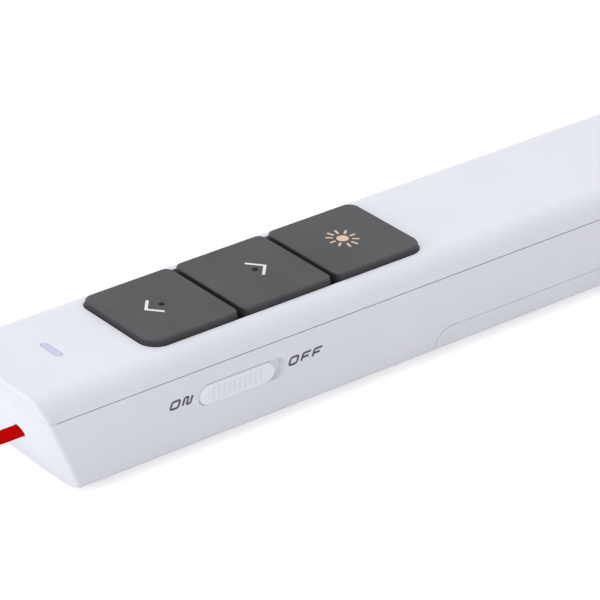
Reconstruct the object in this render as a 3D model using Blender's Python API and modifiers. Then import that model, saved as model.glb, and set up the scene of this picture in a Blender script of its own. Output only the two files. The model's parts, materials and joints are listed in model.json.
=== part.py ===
"""A hand-held wireless presenter with a built-in laser pointer, as the pieces it comes apart into.

X runs along the body from the laser end (-X) to the tail (+X). The power switch is on the -Y
side and the three keys look up (+Z). The origin is under the middle of the body, on the surface
that it rests on. The body is sized from the inside out: its length, width and height follow from
the dry cell, the receiver and the keypad that it holds.
"""

from math import atan, cos, pi, radians, sin, tan

import bmesh
import bpy
from mathutils import Matrix, Vector

# Clearances, in metres
GAP = 0.0003
SEAM = 0.0002
WINDOW_GAP = 0.00015
OVERRUN = 0.002
SINK = 0.0004
WELD = 0.0000001
TOUCH = 0.000001

# Walls of the casing
SHELL_WALL = 0.0018
ROOF_WALL = 0.0016
FLOOR_WALL = 0.0016
TAIL_WALL = 0.0016
COVER_WALL = 0.0012
COVER_FLOOR = 0.0015
TUB_WALL = 0.0010
EDGE_RADIUS = 0.00373
CORNER_RADIUS = 0.0003
BELLY_DEPTH = 0.0021
BELLY_ROUND_WIDTH = 0.0070
BELLY_ROUND_HEIGHT = 0.0038
TROUGH_HALF_WIDTH = 0.0056
COVER_SPINE_WIDTH = 0.0024
SIDE_LEAN = 0.0008
NOSE_ANGLE = radians(22.8)
ARC_STEPS = 10
BELLY_STEPS = 8

# The dry cell and its contacts
CELL_DIAMETER = 0.0105
CELL_LENGTH = 0.0445
CELL_NUB_DIAMETER = 0.0038
CELL_NUB_HEIGHT = 0.0010
CELL_RIM = 0.0006
CELL_FACE_INSET = 0.0012
PLATE_THICKNESS = 0.0003
PLATE_GROOVE = 0.0005
PLATE_TAB_WIDTH = 0.0024
PLATE_TAB_RISE = 0.0006
SPRING_LENGTH = 0.0033
SPRING_WIRE = 0.0006
SPRING_TURNS = 3
SPRING_LARGE_RADIUS = 0.0036
SPRING_SMALL_RADIUS = 0.0022

# The stored receiver, which lies across the body behind the cell
RECEIVER_WIDTH = 0.0140
RECEIVER_HEIGHT = 0.0060
RECEIVER_HOUSING = 0.0064
PLUG_WIDTH = 0.0120
PLUG_HEIGHT = 0.0045
PLUG_LENGTH = 0.0120
PLUG_SHELL_WALL = 0.0004
PLUG_TONGUE = 0.0018
PLUG_WINDOW = 0.0024
RECEIVER_CLEARANCE = 0.0004
RECEIVER_RADIUS = 0.0008
SHELF_RIB = 0.0010
RECEIVER_RIB_SIDE = 0.0036

# The rails that the battery cover slides on
RAIL_DEPTH = 0.0006
RAIL_THICKNESS = 0.0005
RAIL_OVERLAP = 0.0003
COVER_HEIGHT = 0.00355
COVER_CORNER = 0.0035
COVER_OVERLAP = 0.0008
COVER_HOOK_REACH = 0.0016
COVER_HOOK_THICKNESS = 0.0010
COVER_HOOK_ROOT = 0.0018
HOOK_NEAR = 0.0067
HOOK_FAR = 0.0088
GRIP_GROOVE = 0.0009
GRIP_PITCH = 0.0018
GRIP_DEPTH = 0.0005
GRIP_WIDTH = 0.0120
GRIP_FROM_FRONT = 0.0055
GRIP_COUNT = 5
BAY_WALL = 0.0010
BAY_ROOF = 0.0010
PARTING_ABOVE_BAY = 0.0005
DIVIDER = 0.0008

# Keypad
KEYPAD_START = 0.02288
KEY_PITCHES = (0.01753, 0.01816, 0.01834)
KEYPAD_WIDTH = 0.0193
KEYPAD_RADIUS = 0.0032
KEY_GAP = 0.0006
KEY_INNER_RADIUS = 0.0008
KEY_EDGE = 0.0004
KEY_RISE = 0.0010
KEY_CLEARANCE = 0.00025
KEY_TRAVEL = 0.0004
KEY_FLANGE = 0.0006
KEY_FLANGE_HEIGHT = 0.00055
KEY_FLANGE_INSET = 0.0015
KEY_STEM_DIAMETER = 0.0034
KEY_NUB_RADIUS = 0.0006
KEY_NUB_RISE = 0.0002

# Main circuit board and what it carries
BOARD_THICKNESS = 0.0010
BOARD_TO_LASER = 0.0009
BOARD_TO_COVER = 0.0006
BOARD_SIDE_ROOM = 0.0009
BOARD_RADIUS = 0.0010
BOARD_POST_RADIUS = 0.0020
BOARD_POST_INSET = 0.0030
TACT_SIZE = 0.0060
TACT_HEIGHT = 0.0035
TACT_BUTTON_RADIUS = 0.0017
TACT_BUTTON_RISE = 0.0012
CHIP_SIZE = 0.0050
CHIP_HEIGHT = 0.0009
CRYSTAL_LENGTH = 0.0032
CRYSTAL_WIDTH = 0.0025
CRYSTAL_HEIGHT = 0.0008
COIL_SIZE = 0.0040
COIL_HEIGHT = 0.0022
CAPACITOR_LENGTH = 0.0032
CAPACITOR_WIDTH = 0.0016
CAPACITOR_HEIGHT = 0.0014
PART_CHAMFER = 0.0003

# Power switch
KNOB_LENGTH = 0.0144
KNOB_HEIGHT = 0.0035
KNOB_PROUD = 0.0002
KNOB_EDGE = 0.0003
KNOB_FROM_NOSE = 0.02904
KNOB_CENTRE_HEIGHT = 0.0081
KNOB_CLEARANCE = 0.00025
KNOB_POCKET_DEPTH = 0.0010
KNOB_TRAVEL = 0.0015
KNOB_RIB_PITCH = 0.0010
KNOB_RIB_GROOVE = 0.0004
KNOB_RIB_DEPTH = 0.00025
KNOB_RIB_COUNT = 11
KNOB_RIB_HEIGHT = 0.0022
STEM_LENGTH = 0.0045
STEM_HEIGHT = 0.0014
SWITCH_LENGTH = 0.0086
SWITCH_DEPTH = 0.0036
SWITCH_HEIGHT = 0.0036
SWITCH_SLOT_DEPTH = 0.0010
SLIDER_WIDTH = 0.0009
SLIDER_REACH = 0.0006

# Laser
LASER_SIDE = -0.0005
LASER_HEIGHT = 0.0054
APERTURE_DIAMETER = 0.0024
BARREL_WALL = 0.0005
BARREL_STOP = 0.0012
BARREL_STOP_DEPTH = 0.0015
DIODE_ROOM = 0.0017
LENS_RADIUS = 0.0019
LENS_THICKNESS = 0.0012
LENS_RING_THICKNESS = 0.0007
LENS_RING_BORE = 0.0013
DIODE_FLANGE_RADIUS = 0.0028
DIODE_FLANGE = 0.0012
DIODE_CAN_RADIUS = 0.0020
DIODE_CAN = 0.0022
DIODE_PIN_RADIUS = 0.00022
DIODE_PIN_CIRCLE = 0.0012
DIODE_PIN_LENGTH = 0.0018
DIODE_PINS = 3
LASER_BOARD_SIZE = 0.0072
LASER_BOARD_THICKNESS = 0.0008
CRADLE_RIB = 0.0012
CRADLE_WIDTH = 0.0092
CRADLE_INSET = 0.0020

# Indicator lamp
LAMP_FROM_NOSE = 0.0114
LAMP_WINDOW_LENGTH = 0.0052
LAMP_WINDOW_WIDTH = 0.00125
LAMP_FLANGE = 0.0005
LAMP_FLANGE_HEIGHT = 0.0006
LAMP_BOARD_LENGTH = 0.0060
LAMP_BOARD_WIDTH = 0.0118
LAMP_BOARD_THICKNESS = 0.0008
LAMP_BOARD_DROP = 0.0026
LAMP_PIN_SIDE = 0.0044
LAMP_PIN_RADIUS = 0.0005
LAMP_POST_RADIUS = 0.0011
LAMP_LENGTH = 0.0016
LAMP_WIDTH = 0.0030
LAMP_HEIGHT = 0.0009

# Screws, their bosses and the lip that joins the shells
SCREW_RADIUS = 0.00085
SCREW_HEAD_RADIUS = 0.0013
SCREW_HEAD = 0.0012
SCREW_CROSS = 0.0020
SCREW_CROSS_WIDTH = 0.0005
SCREW_CROSS_DEPTH = 0.0006
SCREW_SIDE = 0.0084
FRONT_SCREW_FROM_NOSE = 0.0140
FRONT_SCREW_RECESS = 0.0012
FRONT_SCREW_LENGTH = 0.0075
FRONT_BOSS_RADIUS = 0.0025
TOP_BOSS_RADIUS = 0.0022
BAY_SCREW_LENGTH = 0.0030
BOARD_SCREW_LENGTH = 0.0030
BOSS_HEIGHT = 0.0056
LIP_RISE = 0.0008
LIP_THICKNESS = 0.0005
NOSE_LIP_RISE = 0.0021
NOSE_LIP_INSET = 0.0030
NOSE_LIP_RADIUS = 0.0010

# Wires
WIRE_RADIUS = 0.0004
WIRE_SIDE = 0.0030
WIRE_STEP = 0.0010
LASER_WIRE_SIDE = 0.0012
LAMP_WIRE_SIDE = 0.0040
LASER_WIRE_REACH = 0.0022

# Sizes of the body that follow from what it holds
bay_height = COVER_FLOOR + GAP + CELL_DIAMETER + GAP
part_height = bay_height + PARTING_ABOVE_BAY
top_height = part_height + EDGE_RADIUS
tub_top = bay_height + BAY_ROOF
roof_inside = top_height - ROOF_WALL
receiver_length = RECEIVER_HOUSING + PLUG_LENGTH
tub_half = receiver_length / 2 + RECEIVER_CLEARANCE
divider_half = CELL_DIAMETER / 2 + GAP + DIVIDER
bay_screw_side = (divider_half + tub_half) / 2
rail_half = tub_half + TUB_WALL + RAIL_DEPTH
bottom_half = rail_half + GAP + COVER_WALL
underside = -BELLY_DEPTH
trough_low = underside + FLOOR_WALL
top_half = bottom_half + SIDE_LEAN
keypad_length = sum(KEY_PITCHES)
cover_start = KEYPAD_START + keypad_length - COVER_OVERLAP
bay_wall_start = cover_start + BAY_WALL
bay_start = bay_wall_start + BAY_WALL
front_plate_start = bay_start + GAP
cell_start = front_plate_start + PLATE_THICKNESS + GAP
cell_end = cell_start + CELL_LENGTH
tail_plate_start = cell_end + GAP + SPRING_LENGTH + GAP
bay_end = tail_plate_start + PLATE_THICKNESS + GAP
receiver_room_start = bay_end + BAY_WALL
receiver_start = receiver_room_start + RECEIVER_CLEARANCE
receiver_end = receiver_start + RECEIVER_WIDTH
room_end = receiver_end + RECEIVER_CLEARANCE
BODY_LENGTH = room_end + TAIL_WALL
nose_x = -(BODY_LENGTH + CORNER_RADIUS * sin(NOSE_ANGLE)) / 2
tail_x = nose_x + BODY_LENGTH
nose_slope = tan(NOSE_ANGLE)
nose_wall = SHELL_WALL / cos(NOSE_ANGLE)
lean_angle = atan(SIDE_LEAN / part_height)
cell_height = COVER_FLOOR + GAP + CELL_DIAMETER / 2
hook_low = FLOOR_WALL + GAP
hook_high = hook_low + COVER_HOOK_THICKNESS
receiver_low = hook_high + GAP
board_top = KNOB_CENTRE_HEIGHT - SWITCH_HEIGHT / 2 - GAP
board_bottom = board_top - BOARD_THICKNESS
button_top = board_top + GAP + TACT_HEIGHT + TACT_BUTTON_RISE
key_top = top_height + KEY_RISE
flange_top = roof_inside - GAP
key_bottom = flange_top - KEY_FLANGE_HEIGHT
knob_start = nose_x + KNOB_FROM_NOSE
knob_x = knob_start + KNOB_LENGTH / 2
knob_side = bottom_half + SIDE_LEAN * KNOB_CENTRE_HEIGHT / part_height
board_half = bottom_half - SHELL_WALL - BOARD_SIDE_ROOM

# The laser, from its lens and diode out to its barrel and on to its board
lens_mouth = LENS_RADIUS + GAP
mouth_depth = GAP + LENS_RING_THICKNESS + GAP + LENS_THICKNESS + GAP
barrel_bore = DIODE_FLANGE_RADIUS + GAP
barrel_radius = barrel_bore + BARREL_WALL
barrel_length = mouth_depth + BARREL_STOP_DEPTH + DIODE_ROOM + DIODE_CAN + DIODE_FLANGE
barrel_low = LASER_HEIGHT - barrel_radius
barrel_front = nose_x + nose_slope * (top_height - barrel_low) + nose_wall + GAP
barrel_end = barrel_front + barrel_length
laser_board_start = barrel_end + DIODE_PIN_LENGTH + GAP
laser_board_end = laser_board_start + LASER_BOARD_THICKNESS
laser_axis = (0, LASER_SIDE, LASER_HEIGHT)
board_x = (laser_board_end + BOARD_TO_LASER, nose_x + cover_start - BOARD_TO_COVER)

# Each finish is a colour, a roughness and a metallic value
WHITE_ABS = ((0.82, 0.83, 0.88), 0.35, 0.0)
KEY_GREY = ((0.11, 0.11, 0.12), 0.7, 0.0)
STEEL = ((0.62, 0.62, 0.64), 0.3, 1.0)
BRASS = ((0.72, 0.53, 0.24), 0.3, 1.0)
BOARD_GREEN = ((0.03, 0.22, 0.10), 0.5, 0.0)
BLACK_PLASTIC = ((0.02, 0.02, 0.02), 0.5, 0.0)
GREY_PLASTIC = ((0.35, 0.35, 0.37), 0.5, 0.0)
CAPACITOR_TAN = ((0.55, 0.42, 0.28), 0.4, 0.0)
LENS_GLASS = ((0.75, 0.25, 0.22), 0.05, 0.0)
LAMP_LILAC = ((0.62, 0.62, 0.85), 0.2, 0.0)
LAMP_BODY = ((0.85, 0.85, 0.75), 0.3, 0.0)
RED_WIRE = ((0.65, 0.03, 0.02), 0.5, 0.0)
CELL_LABEL = ((0.06, 0.14, 0.34), 0.35, 0.0)

pieces = bpy.data.collections.new("laser_pointer")
cutters = bpy.data.collections.new("cutters")


def clear_scene():
    """Removes what the file opened with, and links the two collections."""
    for obj in list(bpy.data.objects):
        bpy.data.objects.remove(obj, do_unlink=True)
    for group in (pieces, cutters):
        bpy.context.scene.collection.children.link(group)


def material(name, colour, roughness, metallic):
    """A sub-part's own plain surface."""
    made = bpy.data.materials.new(name)
    made.use_nodes = True
    shader = made.node_tree.nodes["Principled BSDF"]
    shader.inputs["Base Color"].default_value = (*colour, 1.0)
    shader.inputs["Roughness"].default_value = roughness
    shader.inputs["Metallic"].default_value = metallic
    return made


def evaluated(obj):
    """The object's shape as a mesh of its own; the object itself is removed."""
    bpy.context.view_layer.update()
    graph = bpy.context.evaluated_depsgraph_get()
    mesh = bpy.data.meshes.new_from_object(obj.evaluated_get(graph))
    mesh.transform(obj.matrix_world)
    bpy.data.objects.remove(obj)
    return mesh


def cleaned(mesh, chosen=None, radius=0.0, steps=1):
    """Welds a mesh, makes its flat faces whole and rounds the edges that chosen picks."""
    shape = bmesh.new()
    shape.from_mesh(mesh)
    bmesh.ops.remove_doubles(shape, verts=shape.verts, dist=WELD)
    bmesh.ops.dissolve_limit(shape, angle_limit=radians(0.5), verts=shape.verts, edges=shape.edges)
    bmesh.ops.recalc_face_normals(shape, faces=shape.faces)
    if chosen:
        edges = [edge for edge in shape.edges if chosen(edge)]
        bmesh.ops.bevel(shape, geom=edges, offset=radius, segments=steps, profile=0.5, affect="EDGES")
    shape.to_mesh(mesh)
    shape.free()
    return mesh


def sharp(edge):
    """Whether the two faces of an edge meet at a clear corner."""
    return edge.calc_face_angle(0.0) > radians(30)


def at_height(height):
    """Picks the sharp edges that lie at one height."""
    return lambda edge: sharp(edge) and all(abs(v.co.z - height) < TOUCH for v in edge.verts)


def outline_solid(points, low, high, plane="XY"):
    """A flat outline, drawn in the plane's two axes and made solid from low to high across it."""
    curve = bpy.data.curves.new("outline", "CURVE")
    curve.dimensions = "2D"
    curve.fill_mode = "BOTH"
    curve.extrude = (high - low) / 2
    spline = curve.splines.new("POLY")
    spline.points.add(len(points) - 1)
    for point, (u, v) in zip(spline.points, points):
        point.co = (u, v, 0, 1)
    spline.use_cyclic_u = True
    holder = bpy.data.objects.new("outline", curve)
    pieces.objects.link(holder)
    mesh = evaluated(holder)
    lifted = Matrix.Translation((0, 0, (low + high) / 2))
    turns = {
        "XY": Matrix.Identity(4),
        "YZ": Matrix(((0, 0, 1, 0), (1, 0, 0, 0), (0, 1, 0, 0), (0, 0, 0, 1))),
        "XZ": Matrix(((1, 0, 0, 0), (0, 0, 1, 0), (0, 1, 0, 0), (0, 0, 0, 1))),
    }
    mesh.transform(turns[plane] @ lifted)
    return cleaned(mesh)


def box(low, high):
    """A box between two corners."""
    shape = bmesh.new()
    bmesh.ops.create_cube(shape, size=1.0)
    size = Vector(high) - Vector(low)
    middle = (Vector(high) + Vector(low)) / 2
    bmesh.ops.transform(shape, matrix=Matrix.Diagonal((*size, 1)), verts=shape.verts)
    bmesh.ops.translate(shape, vec=middle, verts=shape.verts)
    mesh = bpy.data.meshes.new("box")
    shape.to_mesh(mesh)
    shape.free()
    return mesh


def centred_box(x, y, low, high, length, width):
    """A box around the upright line at x, y, between two heights."""
    return box((x - length / 2, y - width / 2, low), (x + length / 2, y + width / 2, high))


def rod(start, end, radius, sides=16):
    """A cylinder between two points."""
    start, end = Vector(start), Vector(end)
    along = end - start
    shape = bmesh.new()
    radii = {"radius1": radius, "radius2": radius}
    bmesh.ops.create_cone(shape, cap_ends=True, segments=sides, depth=along.length, **radii)
    turn = along.to_track_quat("Z", "Y").to_matrix().to_4x4()
    bmesh.ops.transform(shape, matrix=Matrix.Translation((start + end) / 2) @ turn, verts=shape.verts)
    mesh = bpy.data.meshes.new("rod")
    shape.to_mesh(mesh)
    shape.free()
    return mesh


def turned(profile, origin, along, steps=24, closed=False):
    """A profile of (radius, distance) pairs spun about the line through origin."""
    mesh = bpy.data.meshes.new("turned")
    rows = [(radius, 0, distance) for radius, distance in profile]
    edges = [(i, i + 1) for i in range(len(rows) - 1)]
    if closed:
        edges.append((len(rows) - 1, 0))
    mesh.from_pydata(rows, edges, [])
    holder = bpy.data.objects.new("turned", mesh)
    pieces.objects.link(holder)
    spin = holder.modifiers.new("spin", "SCREW")
    spin.steps = spin.render_steps = steps
    spin.use_merge_vertices = True
    spin.merge_threshold = TOUCH
    holder.rotation_mode = "QUATERNION"
    holder.rotation_quaternion = Vector(along).to_track_quat("Z", "Y")
    holder.location = origin
    return cleaned(evaluated(holder))


def tube(points, radius, sides=2):
    """A round wire along a list of points."""
    curve = bpy.data.curves.new("tube", "CURVE")
    curve.dimensions = "3D"
    curve.bevel_depth = radius
    curve.bevel_resolution = sides
    curve.use_fill_caps = True
    spline = curve.splines.new("POLY")
    spline.points.add(len(points) - 1)
    for point, place in zip(spline.points, points):
        point.co = (*place, 1)
    holder = bpy.data.objects.new("tube", curve)
    pieces.objects.link(holder)
    return cleaned(evaluated(holder))


def smooth_route(stops, step):
    """Points every step or so along a smooth curve through the stops."""
    stops = [Vector(stop) for stop in stops]
    ends = [2 * stops[0] - stops[1], *stops, 2 * stops[-1] - stops[-2]]
    route = []
    for before, start, end, after in zip(ends, ends[1:], ends[2:], ends[3:]):
        count = max(2, round((end - start).length / step))
        for i in range(count):
            t = i / count
            bend = (2 * before - 5 * start + 4 * end - after) * t * t
            twist = (3 * start - before - 3 * end + after) * t * t * t
            route.append(start + ((end - before) * t + bend + twist) / 2)
    return [*route, stops[-1]]


def together(meshes):
    """Several shapes as one mesh, for a cutter or for a join."""
    shape = bmesh.new()
    for mesh in meshes:
        shape.from_mesh(mesh)
    made = bpy.data.meshes.new("together")
    shape.to_mesh(made)
    shape.free()
    return made


def piece(name, mesh, finish, origin=(0, 0, 0)):
    """A named sub-part whose own origin sits at the given place."""
    mesh.name = name
    mesh.transform(Matrix.Translation(-Vector(origin)))
    mesh.materials.clear()
    mesh.materials.append(material(name, *finish))
    mesh.shade_smooth()
    mesh.set_sharp_from_angle(angle=radians(30))
    obj = bpy.data.objects.new(name, mesh)
    obj.location = origin
    pieces.objects.link(obj)
    return obj


def guide(name, mesh):
    """A hidden shape that other pieces are cut or kept by."""
    mesh.name = name
    obj = bpy.data.objects.new(name, mesh)
    cutters.objects.link(obj)
    obj.hide_render = True
    obj.display_type = "WIRE"
    return obj


def combine(obj, operation, helper):
    """Adds one Boolean step to a piece."""
    step = obj.modifiers.new(helper.name, "BOOLEAN")
    step.operation = operation
    step.solver = "EXACT"
    step.object = helper


def cut(obj, *meshes):
    """Takes the shapes away from a piece."""
    combine(obj, "DIFFERENCE", guide(f"{obj.name}_cut", together(meshes)))


def join(obj, *meshes):
    """Adds the shapes to a piece, as one body with it."""
    combine(obj, "UNION", guide(f"{obj.name}_join", together(meshes)))


def pose_parent(name, place, *children):
    """An empty on the line that a moving group slides along."""
    empty = bpy.data.objects.new(name, None)
    empty.empty_display_size = KEY_GAP
    empty.location = place
    pieces.objects.link(empty)
    for child in children:
        child.parent = empty
        child.matrix_parent_inverse = Matrix.Translation(-Vector(place))


def arc(centre, radius, start, end, steps):
    """Points on an arc, angles in degrees."""
    angles = [radians(start + (end - start) * i / steps) for i in range(steps + 1)]
    return [(centre[0] + radius * cos(a), centre[1] + radius * sin(a)) for a in angles]


def rounded(low, high, radii, steps=6):
    """A rectangle with a radius for each corner: low-low, high-low, high-high, low-high."""
    (x0, y0), (x1, y1) = low, high
    a, b, c, d = radii
    return [
        *arc((x0 + a, y0 + a), a, 180, 270, steps),
        *arc((x1 - b, y0 + b), b, 270, 360, steps),
        *arc((x1 - c, y1 - c), c, 0, 90, steps),
        *arc((x0 + d, y1 - d), d, 90, 180, steps),
    ]


def belly_round():
    """The oval round between the belly and the right side, as points in Y and Z."""
    level = underside + BELLY_ROUND_HEIGHT
    middle = side_half(level) - BELLY_ROUND_WIDTH
    turns = [radians(90 * i / BELLY_STEPS - 90) for i in range(BELLY_STEPS + 1)]
    return [(middle + BELLY_ROUND_WIDTH * cos(a), level + BELLY_ROUND_HEIGHT * sin(a)) for a in turns]


def side_half(level):
    """Half of the lower casing's width at a height."""
    return bottom_half + SIDE_LEAN * level / part_height


def body_profile(inset, low, ceiling_inset):
    """The cross-section of the body in Y and Z from its lowest points up, drawn in by a wall."""
    side = top_half - inset
    radius = EDGE_RADIUS - ceiling_inset
    centre = side - radius
    right = [*low, *arc((centre, part_height), radius, 0, 90, ARC_STEPS)]
    left = [(-y, z) for y, z in reversed(right)]
    return [*right, *left]


def sloped_front(mesh, front, setback):
    """Leans the front end of a shape back along the nose's slope, setback behind it."""
    for vertex in mesh.vertices:
        if abs(vertex.co.x - front) < TOUCH:
            vertex.co.x = nose_x + nose_slope * (top_height - vertex.co.z) + setback
    return mesh


def outer_form():
    """The outside of the closed body, with its small rounds."""
    mesh = outline_solid(body_profile(0, belly_round(), 0), nose_x, tail_x, "YZ")
    sloped_front(mesh, nose_x, 0)
    return cleaned(mesh, sharp, CORNER_RADIUS, 2)


def inner_form(low, end):
    """The hollow inside the walls, from the nose wall to a place along X."""
    corner = (side_half(low) - SHELL_WALL, low)
    mesh = outline_solid(body_profile(SHELL_WALL, [corner], ROOF_WALL), nose_x, end, "YZ")
    return sloped_front(mesh, nose_x, nose_wall)


def slab(low, high):
    """A block wider than the body, between two heights."""
    reach = top_half + OVERRUN
    return box((nose_x - OVERRUN, -reach, low), (tail_x + OVERRUN, reach, high))


def nose_lip(grow, low):
    """A block with the outline of the front wall's raised middle, from a height up."""
    half = top_half - NOSE_LIP_INSET + grow
    high = part_height + NOSE_LIP_RISE + grow - SEAM / 2
    outline = rounded((-half, low), (half, high), (0, 0, NOSE_LIP_RADIUS, NOSE_LIP_RADIUS), 4)
    return outline_solid(outline, nose_x - OVERRUN, nose_x + nose_slope * top_height, "YZ")


def cover_outline(shrink):
    """The side view of the battery cover in X and Z, with its round front corner."""
    start = nose_x + cover_start + shrink
    high = COVER_HEIGHT - shrink
    far = tail_x + OVERRUN
    corner = arc((start + COVER_CORNER, high - COVER_CORNER), COVER_CORNER, 180, 90, ARC_STEPS)
    below = underside - OVERRUN
    return [(start, below), *corner, (far, high), (far, below)]


def side_frame():
    """Places a shape drawn in X and Z, facing -Y, on the leaning near side at the knob."""
    place = Matrix.Translation((0, -knob_side, KNOB_CENTRE_HEIGHT))
    return place @ Matrix.Rotation(lean_angle, 4, "X")


def stadium(start, end, height, low, high):
    """A bar with round ends along X, on the near side, between two depths (in is positive)."""
    radius = height / 2
    ends = ((start, -radius), (end, radius))
    mesh = outline_solid(rounded(*ends, (radius,) * 4, 8), low, high, "XZ")
    mesh.transform(side_frame())
    return mesh


def bosses(low, high, radius, places, sides=16):
    """Upright posts at several places."""
    return [rod((x, y, low), (x, y, high), radius, sides) for x, y in places]


def key_spans():
    """Where each key's share of the keypad starts and ends."""
    start = nose_x + KEYPAD_START
    spans = []
    for pitch in KEY_PITCHES:
        spans.append((start, start + pitch))
        start += pitch
    return spans


front_screws = [(nose_x + FRONT_SCREW_FROM_NOSE, side * SCREW_SIDE) for side in (-1, 1)]
bay_screws = [(nose_x + (bay_start + bay_end) / 2, side * bay_screw_side) for side in (-1, 1)]
board_screws = [
    (board_x[0] + BOARD_POST_INSET, board_half - BOARD_POST_INSET),
    (board_x[1] - BOARD_POST_INSET, BOARD_POST_INSET - board_half),
]
board_rests = [(x, -y) for x, y in board_screws]
lamp_x = nose_x + LAMP_FROM_NOSE
lamp_board_top = roof_inside - LAMP_BOARD_DROP
lamp_board_bottom = lamp_board_top - LAMP_BOARD_THICKNESS
lamp_pins = [(lamp_x, side * LAMP_PIN_SIDE) for side in (-1, 1)]


def top_shell(form, white):
    """The upper casing: roof, rounded sides, key window and lamp window."""
    shell = piece("top_shell", slab(part_height + SEAM / 2, top_height + OVERRUN), white)
    combine(shell, "INTERSECT", form)
    rebate = top_half - SHELL_WALL + LIP_THICKNESS + 2 * GAP
    rebate_top = part_height + LIP_RISE + GAP
    front = nose_x + nose_wall + nose_slope * EDGE_RADIUS
    seat = box((front, -rebate, 0), (tail_x - SHELL_WALL + LIP_THICKNESS + 2 * GAP, rebate, rebate_top))
    cut(shell, inner_form(part_height - OVERRUN, tail_x - TAIL_WALL))
    cut(shell, seat)
    x0 = nose_x + KEYPAD_START
    half = KEYPAD_WIDTH / 2
    window = rounded((x0, -half), (x0 + keypad_length, half), (KEYPAD_RADIUS,) * 4, 8)
    low, high = roof_inside - OVERRUN, top_height + OVERRUN
    lamp = capsule(WINDOW_GAP)
    cut(shell, nose_lip(SEAM, 0), outline_solid(window, low, high), outline_solid(lamp, low, high))
    into_roof = roof_inside + SINK
    join(
        shell,
        *bosses(BOSS_HEIGHT + GAP, into_roof, TOP_BOSS_RADIUS, front_screws),
        *bosses(tub_top + GAP, into_roof, TOP_BOSS_RADIUS, bay_screws),
        *bosses(lamp_board_top + GAP, into_roof, LAMP_POST_RADIUS, lamp_pins, 12),
    )
    join(shell, *bosses(lamp_board_bottom - GAP, into_roof, LAMP_PIN_RADIUS, lamp_pins, 8))
    hole = SCREW_RADIUS + GAP
    cut(
        shell,
        *bosses(0, FRONT_SCREW_RECESS + SCREW_HEAD + FRONT_SCREW_LENGTH + GAP, hole, front_screws, 12),
        *bosses(0, roof_inside + SINK, hole, bay_screws, 12),
    )
    return shell


def capsule(grow):
    """The outline of the lamp window, which lies across the body."""
    half_x = LAMP_WINDOW_WIDTH / 2 + grow
    half_y = LAMP_WINDOW_LENGTH / 2 + grow
    return rounded((lamp_x - half_x, -half_y), (lamp_x + half_x, half_y), (half_x,) * 4, 5)


def tub_pockets():
    """The pockets in the solid tub: the cell's, the two beside it and the receiver's."""
    low = -OVERRUN
    cell_half = CELL_DIAMETER / 2 + GAP
    start, end = nose_x + bay_start, nose_x + bay_end
    pockets = [box((start, -cell_half, low), (end, cell_half, bay_height))]
    for side in (-1, 1):
        near, far = sorted((side * divider_half, side * tub_half))
        pockets.append(box((start, near, low), (end, far, bay_height)))
    start, end = nose_x + receiver_room_start, nose_x + room_end
    pockets.append(box((start, -tub_half, low), (end, tub_half, bay_height)))
    return pockets


def plate_slots(half, low, high):
    """A thin slot for each of the two contact plates, between two heights."""
    slots = []
    for plate in (front_plate_start, tail_plate_start):
        start = nose_x + plate - GAP + SINK / 2
        end = nose_x + plate + PLATE_THICKNESS + GAP - SINK / 2
        slots.append(box((start, -half, low), (end, half, high)))
    return slots


def plate_grooves():
    """The grooves that hold the contact plates' sides."""
    return plate_slots(CELL_DIAMETER / 2 + GAP + PLATE_GROOVE, -OVERRUN, bay_height - SINK / 2)


def tab_slots():
    """The slots in the tub's roof for the contact plates' tabs."""
    return plate_slots(PLATE_TAB_WIDTH / 2 + GAP, bay_height - OVERRUN, tub_top + OVERRUN)


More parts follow.
